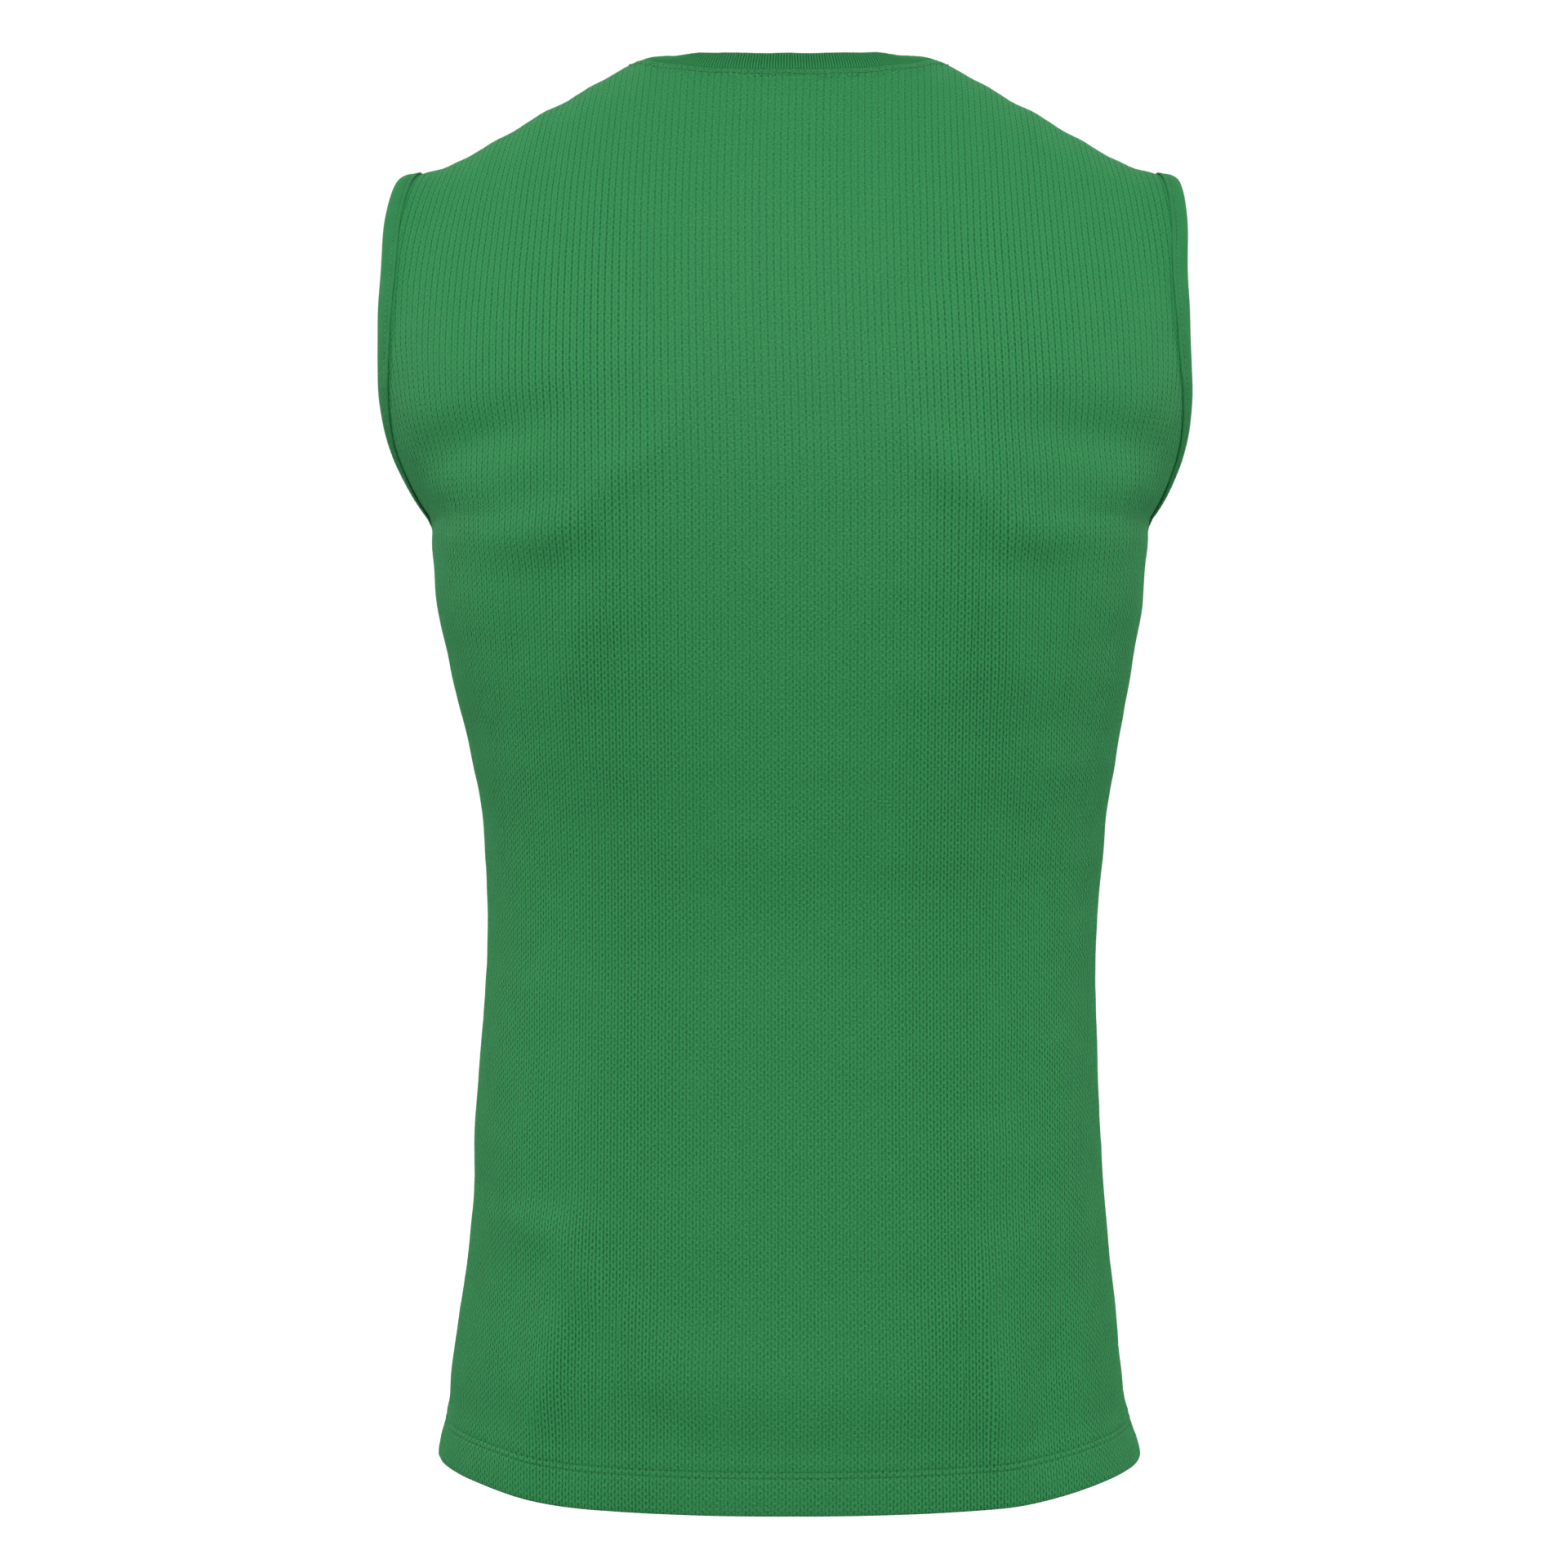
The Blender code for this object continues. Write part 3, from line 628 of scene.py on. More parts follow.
@dataclass
class BodyPanel:
    """A body panel of mesh knit with its hem turned up and its seam allowances showing through."""

    form: ShirtForm
    side: Side
    node: str
    slot: str
    flat: tuple[float, float]
    flat_area: float
    seed: int
    row_step: float = 0.0040
    hem_row_step: float = 0.0010
    hem_rows_height: float = 0.0290
    neck_columns: int = 46
    shoulder_columns: int = 32
    edge_share: float = 0.045
    edge_columns: int = 8
    edge_crowding: float = 1.6
    high_rows: int = 60
    top_rows: int = 24
    top_rows_from: float = 0.945
    fold_fade: float = 0.22
    long_waves: float = 0.00035
    short_waves: float = 0.00012
    long_lengths: tuple[float, float] = (0.035, 0.110)
    short_lengths: tuple[float, float] = (0.012, 0.030)
    seam_lumps: float = 0.35
    lump_lengths: tuple[float, float] = (0.006, 0.016)
    edge_hold: float = 0.06
    shoulder_hold: float = 0.03
    even_columns: int = 161
    even_rows: int = 81
    neck_end_reach: float = 0.0045
    shoulder_band: float = 0.04
    neck_band: float = 0.02
    neck_probes: int = 600
    hem_doubled_to: float = 0.0200
    hem_step_width: float = 0.0015

    def build(self) -> None:
        """Works out the outer face, its normals and the cloth place of each of its points."""
        form = self.form
        self.columns = self.column_places()
        heights = np.arange(0.0, self.hem_rows_height, self.hem_row_step)
        marks = [row.distance for row in HEM_FACE if row.distance < self.hem_rows_height]
        self.hem_heights = np.unique(np.round(np.concatenate([heights, marks]), 5))
        body_start = form.hem_z + self.hem_rows_height
        body_rows = round((form.underarm_z - body_start) / self.row_step)
        levels = list(form.hem_z + self.hem_heights)
        levels += list(np.linspace(body_start, form.underarm_z, body_rows + 1)[:-1])
        climbs = np.linspace(0.0, self.top_rows_from, self.high_rows)
        climbs = np.concatenate([climbs, np.linspace(self.top_rows_from, 1.0, self.top_rows)[1:]])
        self.underarm_row = len(levels)
        neck = form.neck_climb(self.side, self.columns)
        rows = [form.low_row(self.side, self.columns, z) for z in levels]
        self.places = [form.high_place(self.side, self.columns, climb, neck) for climb in climbs]
        rows += [form.high_row(self.side, shares, climbs) for shares, climbs in self.places]
        self.plain = np.stack(rows)
        self.measure_cloth()
        lift = self.folds() + self.seams() + self.unevenness()
        self.points = self.plain + grid_normals(self.plain, self.side) * lift[..., None]
        to_neck_end = np.abs(np.abs(self.plain[-1, :, 0]) - form.neck_half_width)
        held = to_neck_end < self.neck_end_reach
        self.points[:, held, 0] = self.plain[:, held, 0]
        self.part_at_seams()
        self.normals = grid_normals(self.points, self.side)

    def column_places(self) -> np.ndarray:
        """Where the columns stand, from the right edge at -1 to the left edge at 1."""
        neck_end = self.form.neck_end
        even = np.linspace(0.0, 1.0, self.neck_columns)
        inner = neck_end * (0.12 * even + 0.88 * np.sin(even * math.pi / 2))
        outer = np.linspace(neck_end, 1 - self.edge_share, self.shoulder_columns)[1:]
        crowded = np.linspace(1.0, 0.0, self.edge_columns + 1)[1:] ** self.edge_crowding
        half = np.concatenate([inner, outer, 1 - self.edge_share * crowded])
        return np.concatenate([-half[:0:-1], half])

    def measure_cloth(self) -> None:
        """Measures the cloth from its middle line and its hem, and from each edge."""
        self.u, self.v = spread_out(self.plain, 0.0)
        below = self.underarm_row
        high_u, high_v = self.measure_high(self.v[below, len(self.columns) // 2])
        self.u = np.concatenate([self.u[:below], high_u])
        self.v = np.concatenate([self.v[:below], high_v])
        walked = walked_across(self.plain)
        self.to_side = np.minimum(walked, walked[:, -1:] - walked)
        upward = np.linalg.norm(np.diff(self.plain, axis=0), axis=-1)
        left = np.cumsum(upward[::-1], axis=0)[::-1]
        to_top = np.concatenate([left, np.zeros((1, left.shape[1]))])
        band = self.shoulder_band
        self.to_shoulder = np.where(to_top < band, np.abs(self.plain[..., 1]), band)
        self.to_neck, self.round_neck = self.measure_neck()

    def measure_high(self, start: float) -> tuple:
        """The cloth places over the underarm level, read from an even grid of the uncut panel."""
        shares = np.linspace(-1.0, 1.0, self.even_columns)
        climbs = np.linspace(0.0, 1.0, self.even_rows)
        even = [self.form.high_row(self.side, shares, np.full_like(shares, t)) for t in climbs]
        u, v = spread_out(np.stack(even), start)
        at = (np.array([place[0] for place in self.places]) + 1) * (len(shares) - 1) / 2
        up = np.array([place[1] for place in self.places]) * (len(climbs) - 1)
        column = np.clip(at.astype(int), 0, len(shares) - 2)
        row = np.clip(up.astype(int), 0, len(climbs) - 2)
        right, above = at - column, up - row
        made = []
        for grid in (u, v):
            low = grid[row, column] * (1 - right) + grid[row, column + 1] * right
            high = grid[row + 1, column] * (1 - right) + grid[row + 1, column + 1] * right
            made.append(low * (1 - above) + high * above)
        return tuple(made)

    def measure_neck(self) -> tuple:
        """Each point's distance from the neck edge, and how far round the edge that is."""
        reach = self.neck_band
        edge = self.plain[-1, self.on_neck()]
        walked = walked_along(edge)
        fine = np.linspace(0.0, walked[-1], self.neck_probes)
        places = read_along(fine, walked, edge)
        tree = KDTree(len(places))
        for number, place in enumerate(places):
            tree.insert(Vector(place), number)
        tree.balance()
        distance = np.full(self.plain.shape[:2], reach)
        around = np.zeros(self.plain.shape[:2])
        low, high = places.min(0) - reach, places.max(0) + reach
        close = np.all((self.plain > low) & (self.plain < high), axis=-1)
        for row, column in np.argwhere(close):
            _, number, away = tree.find(Vector(self.plain[row, column]))
            distance[row, column] = away
            around[row, column] = fine[number]
        return distance, around

    def on_neck(self) -> np.ndarray:
        """Which columns end on the neck edge."""
        return np.abs(self.columns) < self.form.neck_end + HAIR

    def on_shoulder(self) -> np.ndarray:
        """Which columns end on a shoulder seam."""
        return np.abs(self.columns) > self.form.neck_end - HAIR

    def folds(self) -> np.ndarray:
        """How far the soft folds lift or sink the face."""
        height = np.zeros(self.plain.shape[:2])
        for fold in FOLDS[self.side] + CREASES[self.side]:
            slant = math.radians(fold.slant)
            dx = self.plain[..., 0] - fold.x
            dz = self.plain[..., 2] - fold.z
            along = (dx * math.cos(slant) + dz * math.sin(slant)) / fold.length
            aside = (dz * math.cos(slant) - dx * math.sin(slant)) / fold.width
            height += fold.depth * np.exp(-along * along - aside * aside)
        return height * smooth_step((1 - np.abs(self.columns)) / self.fold_fade)

    def seams(self) -> np.ndarray:
        """How the side and shoulder seams, the collar's covered allowance and the hem show."""
        rows = np.arange(len(self.plain))[:, None]
        below_underarm = rows <= self.underarm_row
        lumps = 1 + self.seam_lumps * waves(self.u, self.v, self.seed + 1, *self.lump_lengths)
        side = SIDE_SEAM_CURVE.proud(self.to_side) * lumps * below_underarm
        shoulder = SIDE_SEAM_CURVE.proud(self.to_shoulder) * lumps
        neck = NECK_STRIP_CURVE.proud(self.to_neck) * lumps
        height = np.zeros(len(self.plain))
        height[: len(self.hem_heights)] = HEM_CURVE.proud(self.hem_heights)
        return side + shoulder + neck + height[:, None]

    def unevenness(self) -> np.ndarray:
        """The knit's own soft waviness, which dies out at the edges that other pieces hold."""
        held = smooth_step((1 - np.abs(self.columns)) / self.edge_hold)
        top = smooth_step(self.to_shoulder / self.shoulder_hold)
        top *= smooth_step(self.to_neck / self.neck_band)
        long = self.long_waves * waves(self.u, self.v, self.seed + 2, *self.long_lengths)
        short = self.short_waves * waves(self.u, self.v, self.seed + 3, *self.short_lengths)
        return (long + short) * held * top

    def part_at_seams(self) -> None:
        """Leaves half of the seam gap between this panel and the other one."""
        half_gap = self.side.value * self.form.seam_gap / 2
        self.points[: self.underarm_row + 1, [0, -1], 1] = half_gap
        self.points[-1, self.on_shoulder(), 1] = half_gap

    def armhole_edge(self, hand: Hand) -> tuple:
        """Points and normals of one armhole edge, from the underarm up."""
        edge = -1 if hand is Hand.LEFT else 0
        return self.points[self.underarm_row :, edge], self.normals[self.underarm_row :, edge]

    def neck_edge(self) -> tuple:
        """Points and normals of the neck edge, from the wearer's right to left."""
        return self.points[-1, self.on_neck()], self.normals[-1, self.on_neck()]

    def hem_path(self, height: float) -> tuple:
        """Points and normals along the hem, this far over its edge."""
        row = int(np.argmin(np.abs(self.hem_heights - height)))
        return self.points[row], self.normals[row]

    def face_quads(self) -> np.ndarray:
        """The outer face's four-sided faces, by point number."""
        rows, columns = self.points.shape[:2]
        numbers = np.arange(rows * columns).reshape(rows, columns)
        quads = [numbers[:-1, :-1], numbers[:-1, 1:], numbers[1:, 1:], numbers[1:, :-1]]
        made = np.stack(quads, axis=-1).reshape(-1, 4)
        return made[:, :: -self.side.value]

    def dress(self, finish: bpy.types.Material) -> bpy.types.Object:
        """Args:
            finish: the knit's material.

        Returns:
            The finished piece.
        """
        form = self.form
        rows, columns = self.points.shape[:2]
        over_hem = np.full(rows, 1.0)
        over_hem[: len(self.hem_heights)] = self.hem_heights
        doubled = 1 - smooth_step((over_hem - self.hem_doubled_to) / self.hem_step_width)
        wall = form.wall + (form.doubled_wall - form.wall) * doubled
        inner = self.points - self.normals * wall[:, None, None]
        numbers = np.arange(rows * columns).reshape(rows, columns)
        rim = np.concatenate([numbers[0], numbers[1:, -1], numbers[-1, -2::-1], numbers[-2::-1, 0]])
        back = rows * columns
        edge = np.stack([rim[1:], rim[:-1], rim[:-1] + back, rim[1:] + back], axis=-1)
        outer = self.face_quads()
        faces = np.concatenate([outer, outer[:, ::-1] + back, edge[:, :: -self.side.value]])
        points = np.concatenate([self.points.reshape(-1, 3), inner.reshape(-1, 3)])
        cloth = np.stack([self.u, self.v], axis=-1).reshape(-1, 2)
        neck = np.stack([self.round_neck, self.to_neck], axis=-1).reshape(-1, 2)
        places = {CLOTH_UV: np.tile(cloth, (2, 1)), NECK_UV: np.tile(neck, (2, 1))}
        name = f"{self.node}_cloth"
        piece = link_piece(name, mesh_from(name, points, faces, places), finish)
        declare_piece(piece, self.node)
        return piece


@dataclass
class Loop:
    """A closed line of evenly spaced points on cloth, with the cloth's normals there."""

    points: np.ndarray
    normals: np.ndarray
    walked: np.ndarray
    length: float

    @classmethod
    def through(cls, points: np.ndarray, normals: np.ndarray, count: int) -> "Loop":
        """An even loop of this many points through a closed line."""
        closed = np.concatenate([points, points[:1]])
        facing = np.concatenate([normals, normals[:1]])
        walked = walked_along(closed)
        even = np.linspace(0.0, walked[-1], count + 1)[:-1]
        normal = read_along(even, walked, facing)
        for _ in range(3):
            normal = (np.roll(normal, 1, axis=0) + 2 * normal + np.roll(normal, -1, axis=0)) / 4
        normal /= np.linalg.norm(normal, axis=1, keepdims=True)
        return cls(read_along(even, walked, closed), normal, even, float(walked[-1]))

    def along(self) -> np.ndarray:
        """The unit direction of the loop at each point."""
        run = np.roll(self.points, -2, axis=0) - np.roll(self.points, 2, axis=0)
        return run / np.linalg.norm(run, axis=1, keepdims=True)


def closed_quads(rings: int, around: int) -> np.ndarray:
    """Four-sided faces of a grid that joins both ways round, by point number."""
    numbers = np.arange(rings * around).reshape(rings, around)
    over = np.roll(numbers, -1, axis=0)
    quads = [numbers, np.roll(numbers, -1, axis=1), np.roll(over, -1, axis=1), over]
    return np.stack(quads, axis=-1).reshape(-1, 4)


def turned_out(points: np.ndarray, faces: np.ndarray) -> np.ndarray:
    """The faces of a closed shape, turned round if they pointed inwards."""
    a, b, c, d = (points[faces[:, corner]] for corner in range(4))
    volume = np.einsum("ij,ij->", a, np.cross(b, c)) + np.einsum("ij,ij->", a, np.cross(c, d))
    return faces if volume > 0 else faces[:, ::-1]


def tube_piece(
    name: str, rings: np.ndarray, walked: np.ndarray, finish: bpy.types.Material
) -> bpy.types.Object:
    """A closed tube of cloth through rings of points.

    Args:
        name: the piece's name.
        rings: an array of rings of points, which joins both ways round.
        walked: how far along the cloth each ring lies.
        finish: its material.

    Returns:
        The piece.
    """
    count, around = rings.shape[:2]
    across = np.linalg.norm(np.diff(rings, axis=1), axis=-1).mean(axis=0)
    v = np.concatenate([[0.0], np.cumsum(across)])
    uvs = np.stack(np.broadcast_arrays(walked[:, None], v[None, :]), axis=-1).reshape(-1, 2)
    points = rings.reshape(-1, 3)
    faces = turned_out(points, closed_quads(count, around))
    return link_piece(name, mesh_from(name, points, faces, {CLOTH_UV: uvs}), finish)


BINDING_FACE = table_of(
    Relief,
    (0.0014, 0.00140),
    (0.0030, 0.00172),
    (0.0048, 0.00168),
    (0.0058, 0.00145),
    (0.0066, 0.00105),
    (0.0072, 0.00138),
    (0.0077, 0.00115),
    (0.0083, 0.00135),
    (0.0089, 0.00110),
    (0.0091, 0.00050),
)


@dataclass
class ArmholeBinding:
    """A strip of plain knit folded over an armhole's edge and stitched down."""

    form: ShirtForm
    hand: Hand
    node: str
    slot: str
    seed: int
    cloth: float = 0.0009
    gap: float = 0.0005
    lining_gap: float = 0.0009
    reach: float = 0.0077
    ring_step: float = 0.0013
    fold_points: int = 7
    stitch_from_fold: float = 0.0066
    stitch_height: float = 0.0013
    pucker: float = 0.10
    pucker_length: float = 0.0107
    fine_pucker: float = 0.06
    fine_pucker_length: float = 0.0031
    stitch_pull: float = 0.00008
    stitch_pitch: float = 0.0026
    flat: tuple[float, float] = (0.0220, 0.470)

    def build(self, panels: dict, seat: BVHTree) -> None:
        """Lays the strip over the edge, on the panels' own faces.

        Args:
            panels: the body panels by side.
            seat: a search tree over the panels' outer faces.
        """
        back, back_normals = panels[Side.BACK].armhole_edge(self.hand)
        front, front_normals = panels[Side.FRONT].armhole_edge(self.hand)
        underarm = [(back[0] + front[0]) / 2]
        shoulder = [(back[-1] + front[-1]) / 2]
        points = np.concatenate([underarm, back[1:-1], shoulder, front[-2:0:-1]])
        over = [back_normals[-1] + front_normals[-1]]
        normals = np.concatenate([back_normals[:-1], over, front_normals[-2:0:-1]])
        length = np.linalg.norm(np.diff(points, axis=0), axis=-1).sum()
        self.loop = Loop.through(points, normals, round(length / self.ring_step))
        beyond = np.cross(self.loop.along(), self.loop.normals)
        beyond /= np.linalg.norm(beyond, axis=1, keepdims=True)
        if beyond[len(beyond) // 4][0] * self.hand.value < 0:
            beyond = -beyond
        self.rings = np.stack([self.ring(*place, seat) for place in enumerate(beyond)])
        stitched = self.fold_edge() - self.stitch_from_fold
        path = [self.seated(*place, stitched, self.stitch_height, seat) for place in enumerate(beyond)]
        self.stitch_path = np.array(path)

    def fold_edge(self) -> float:
        """How far the fold reaches beyond the cloth's edge."""
        return self.gap + self.cloth

    def seated(
        self, number: int, beyond: np.ndarray, reach: float, height: float, seat: BVHTree
    ) -> np.ndarray:
        """A point over the panel's face, this far from the armhole's edge."""
        place, normal, _, _ = seat.find_nearest(Vector(self.loop.points[number] + reach * beyond))
        return np.array(place) + np.array(normal) * height

    def ring(self, number: int, beyond: np.ndarray, seat: BVHTree) -> np.ndarray:
        """One ring of the strip: its outer leg, its fold and the leg inside the armhole."""
        far = self.fold_edge()
        walked = self.loop.walked[number]
        slack = 1 + self.pucker * math.sin(walked / self.pucker_length + self.seed)
        slack += self.fine_pucker * math.sin(walked / self.fine_pucker_length)
        pull = self.stitch_pull * math.sin(2 * math.pi * walked / self.stitch_pitch)
        outer = []
        for row in BINDING_FACE[::-1]:
            over = far - row.distance
            if over < 0:
                puffed = far + (row.proud - far) * slack + pull
                outer.append(self.seated(number, beyond, over, puffed, seat))
        edge = self.loop.points[number]
        normal = self.loop.normals[number]
        lining = self.form.wall + self.lining_gap
        lined = lining + self.cloth
        fold = []
        middle = (far - lined) / 2
        for turn in np.linspace(math.pi / 2, -math.pi / 2, self.fold_points):
            height = middle + (far + lined) / 2 * math.sin(turn)
            fold.append(edge + far * math.cos(turn) * beyond + height * normal)
        half = -self.reach / 2
        inner = [self.seated(number, beyond, over, -lined, seat) for over in (half, -self.reach)]
        inner += [self.seated(number, beyond, over, -lining, seat) for over in (-self.reach, half)]
        clear = edge + self.gap * beyond
        under = [clear - lining * normal, clear + self.gap * normal]
        under += [self.seated(number, beyond, over, self.gap, seat) for over in (half, -self.reach)]
        return np.array(outer + fold + inner + under)

    def dress(self, finish: bpy.types.Material) -> bpy.types.Object:
        """Args:
            finish: the plain knit's material.

        Returns:
            The finished piece.
        """
        piece = tube_piece(f"{self.node}_cloth", self.rings, self.loop.walked, finish)
        declare_piece(piece, self.node)
        return piece


FACE_SHARES = (0.05, 0.12, 0.22, 0.36, 0.52, 0.68, 0.82, 0.93)
BACK_SHARES = (0.90, 0.60, 0.30)
PLY_SHARES = (0.30, 0.94)
OTHER_PLY_SHARES = (0.94, 0.30, 0.04)


@dataclass
class RibCollar:
    """The folded band of fine rib knit that stands on the neck edge."""

    form: ShirtForm
    node: str
    slot: str
    rib_pitch: float = 0.00140
    points_per_rib: int = 4
    rib_height: float = 0.00020
    wall: float = 0.0022
    rounding: float = 0.0010
    ply: float = 0.00095
    seat_gap: float = 0.0003
    swell: float = 0.0005
    tuck: float = 0.0001
    fold_points: int = 6
    topstitch_from_edge: float = 0.0058
    topstitch_height: float = 0.00025
    even_over: int = 24
    least_facing: float = 0.60
    flat: tuple[float, float] = (0.440, 0.026)

    def build(self, panels: dict, seat: BVHTree) -> None:
        """Stands the band on the neck edge and finds the line of its topstitching.

        Args:
            panels: the body panels by side.
            seat: a search tree over the panels' outer faces.
        """
        back, back_normals = panels[Side.BACK].neck_edge()
        front, front_normals = panels[Side.FRONT].neck_edge()
        back = back.copy()
        back[[0, -1], 1] = 0.0
        points = np.concatenate([back, front[-2:0:-1]])
        normals = np.concatenate([back_normals, front_normals[-2:0:-1]])
        length = np.linalg.norm(np.diff(points, axis=0), axis=-1).sum()
        self.ribs = round(length / self.rib_pitch)
        self.loop = Loop.through(points, normals, self.ribs * self.points_per_rib)
        self.lean_in()
        self.rings = np.stack([self.ring(number) for number in range(len(self.loop.points))])
        path = []
        facing = []
        for edge, inward in zip(self.loop.points[::4], self.inward[::4]):
            place, normal, _, _ = seat.find_nearest(Vector(edge - self.topstitch_from_edge * inward))
            path.append(np.array(place) + self.topstitch_height * np.array(normal))
            facing.append(np.array(normal))
        self.stitch_path = np.array(path)
        self.stitch_normals = np.array(facing)

    def lean_in(self) -> None:
        """Works out which way the band leans and faces at each point of the neck edge."""
        upright = np.array([0.0, 0.0, 1.0])
        along = self.loop.along()
        aside = np.clip(np.abs(self.loop.points[:, 0]) / self.form.neck_half_width, 0.0, 1.0)
        place = np.arcsin(aside) / math.pi
        place = np.where(self.loop.points[:, 1] >= 0, place, 1 - place)
        stand = LEAN_CURVE.at(place)
        inward = np.cross(np.broadcast_to(upright, along.shape), along)
        inward /= np.linalg.norm(inward, axis=1, keepdims=True)
        outward = np.einsum("ij,ij->i", inward, self.loop.points * [1, 1, 0]) > 0
        inward[outward] *= -1
        lean = stand.inward[:, None] * inward + stand.rise[:, None] * upright
        self.width = np.linalg.norm(lean, axis=1)
        self.lean = lean / self.width[:, None]
        face = np.cross(along, self.lean)
        face /= np.linalg.norm(face, axis=1, keepdims=True)
        face[face[:, 2] < 0] *= -1
        self.face = face
        facing = np.einsum("ij,ij->i", face, self.loop.normals)
        self.loop.normals[facing < self.least_facing] = 0.0
        reach = range(-self.even_over, self.even_over + 1)
        kept = sum(np.roll(self.loop.normals, step, axis=0) for step in reach) + 0.5 * face
        self.loop.normals = kept / np.linalg.norm(kept, axis=1, keepdims=True)
        self.inward = self.lean * 0.35 + inward * 0.65

    def ring(self, number: int) -> np.ndarray:
        """One ring across the folded band: round its shown face, then back between its plies."""
        lean, face, width = self.lean[number], self.face[number], self.width[number]
        start = self.loop.points[number] + self.seat_gap * lean
        rib = self.rib_height * math.cos(2 * math.pi * number / self.points_per_rib)
        top = width - self.rounding
        rows = [start - self.tuck * face]
        for share in FACE_SHARES:
            swell = self.swell * math.sin(math.pi * min(share * 1.15, 1.0))
            rows.append(start + share * top * lean + (swell + rib * min(1.0, 6 * share)) * face)
        for turn in np.linspace(math.pi / 2, -math.pi / 2, self.fold_points):
            rise = top + self.rounding * math.cos(turn)
            depth = self.wall / 2 * (math.sin(turn) - 1) + rib * 0.6 * math.sin(turn)
            rows.append(start + rise * lean + depth * face)
        for share in BACK_SHARES:
            rows.append(start + share * top * lean - (self.wall + rib) * face)
        foot = start - self.wall * self.loop.normals[number]
        rows += [foot, foot + self.ply * self.loop.normals[number]]
        rows += [start + share * top * lean - (self.wall - self.ply) * face for share in PLY_SHARES]
        rows += [start + share * top * lean - self.ply * face for share in OTHER_PLY_SHARES]
        return np.array(rows)

    def dress(self, finish: bpy.types.Material) -> bpy.types.Object:
        """Args:
            finish: the rib knit's material.

        Returns:
            The finished piece.
        """
        piece = tube_piece(f"{self.node}_knit", self.rings, self.loop.walked, finish)
        declare_piece(piece, self.node)
        return piece


@dataclass
class StitchRow:
    """A row of sewing stitches, one short bead of thread after another."""

    name: str
    slot: str
    pitch: float
    length: float
    width: float
    height: float
    seed: int
    look_ahead: float = 0.0006

    def bead(self) -> tuple:
        """One stitch as points and faces, made from a stretched ball."""
        bpy.ops.object.select_all(action="DESELECT")
        bpy.ops.mesh.primitive_uv_sphere_add(segments=8, ring_count=6, radius=0.5)
        ball = bpy.context.object
        bpy.ops.object.mode_set(mode="EDIT")
        bpy.ops.mesh.select_all(action="SELECT")
        bpy.ops.transform.rotate(value=math.pi / 2, orient_axis="Y", center_override=(0, 0, 0))
        bpy.ops.transform.resize(value=(self.length, self.width, self.height), center_override=(0, 0, 0))
        bpy.ops.mesh.quads_convert_to_tris()
        bpy.ops.object.mode_set(mode="OBJECT")
        points = np.array([vertex.co[:] for vertex in ball.data.vertices])
        faces = np.array([polygon.vertices[:] for polygon in ball.data.polygons])
        bpy.data.objects.remove(ball, do_unlink=True)
        return points, faces

    def sew(self, lines: list, finish: bpy.types.Material) -> bpy.types.Object:
        """Sews the row along each line.

        Args:
            lines: pairs of points and normals along the cloth.
            finish: the thread's material.

        Returns:
            The finished piece.
        """
        bead, bead_faces = self.bead()
        draw = random.Random(self.seed)
        points = []
        faces = []
        for line, normals in lines:
            line = np.asarray(line)
            normals = np.asarray(normals)
            walked = walked_along(line)
            count = int(walked[-1] / self.pitch)
            for number in range(count):
                at = (number + 0.5) * walked[-1] / count + draw.uniform(-0.05, 0.05) * self.pitch
                place = read_along(at, walked, line)
                normal = read_along(at, walked, normals)
                run = read_along(at + self.look_ahead, walked, line) - place
                run /= np.linalg.norm(run) + 1e-12
                normal -= run * np.dot(run, normal)
                normal /= np.linalg.norm(normal)
                turn = math.radians(draw.uniform(-4.0, 4.0))
                side = np.cross(normal, run)
                cos, sin = math.cos(turn), math.sin(turn)
                run, side = run * cos + side * sin, side * cos - run * sin
                stretch = draw.uniform(0.94, 1.05)
                faces.append(bead_faces + len(bead) * len(points))
                points.append(place + bead @ np.stack([run * stretch, side, normal]))
        mesh = bpy.data.meshes.new(self.name)
        mesh.from_pydata(np.concatenate(points).tolist(), [], np.concatenate(faces).tolist())
        mesh.polygons.foreach_set("use_smooth", np.ones(len(mesh.polygons), dtype=bool))
        mesh.update()
        piece = link_piece(self.name, mesh, finish)
        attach(piece, BODY)
        report_piece(piece)
        return piece


class Wire:
    """One shader value; arithmetic on it adds Math nodes."""

    def __init__(self, bench: "Bench", socket: bpy.types.NodeSocket) -> None:
        """Wraps a socket of the bench's material."""
        self.bench = bench
        self.socket = socket

    def __add__(self, other: "Wire | float") -> "Wire":
        """This value plus another."""
        return self.bench.math("ADD", self, other)

    def __radd__(self, other: float) -> "Wire":
        """A number plus this value."""
        return self.bench.math("ADD", other, self)

    def __sub__(self, other: "Wire | float") -> "Wire":
        """This value less another."""
        return self.bench.math("SUBTRACT", self, other)

    def __rsub__(self, other: float) -> "Wire":
        """A number less this value."""
        return self.bench.math("SUBTRACT", other, self)

    def __mul__(self, other: "Wire | float") -> "Wire":
        """This value times another."""
        return self.bench.math("MULTIPLY", self, other)

    def __rmul__(self, other: float) -> "Wire":
        """A number times this value."""
        return self.bench.math("MULTIPLY", other, self)


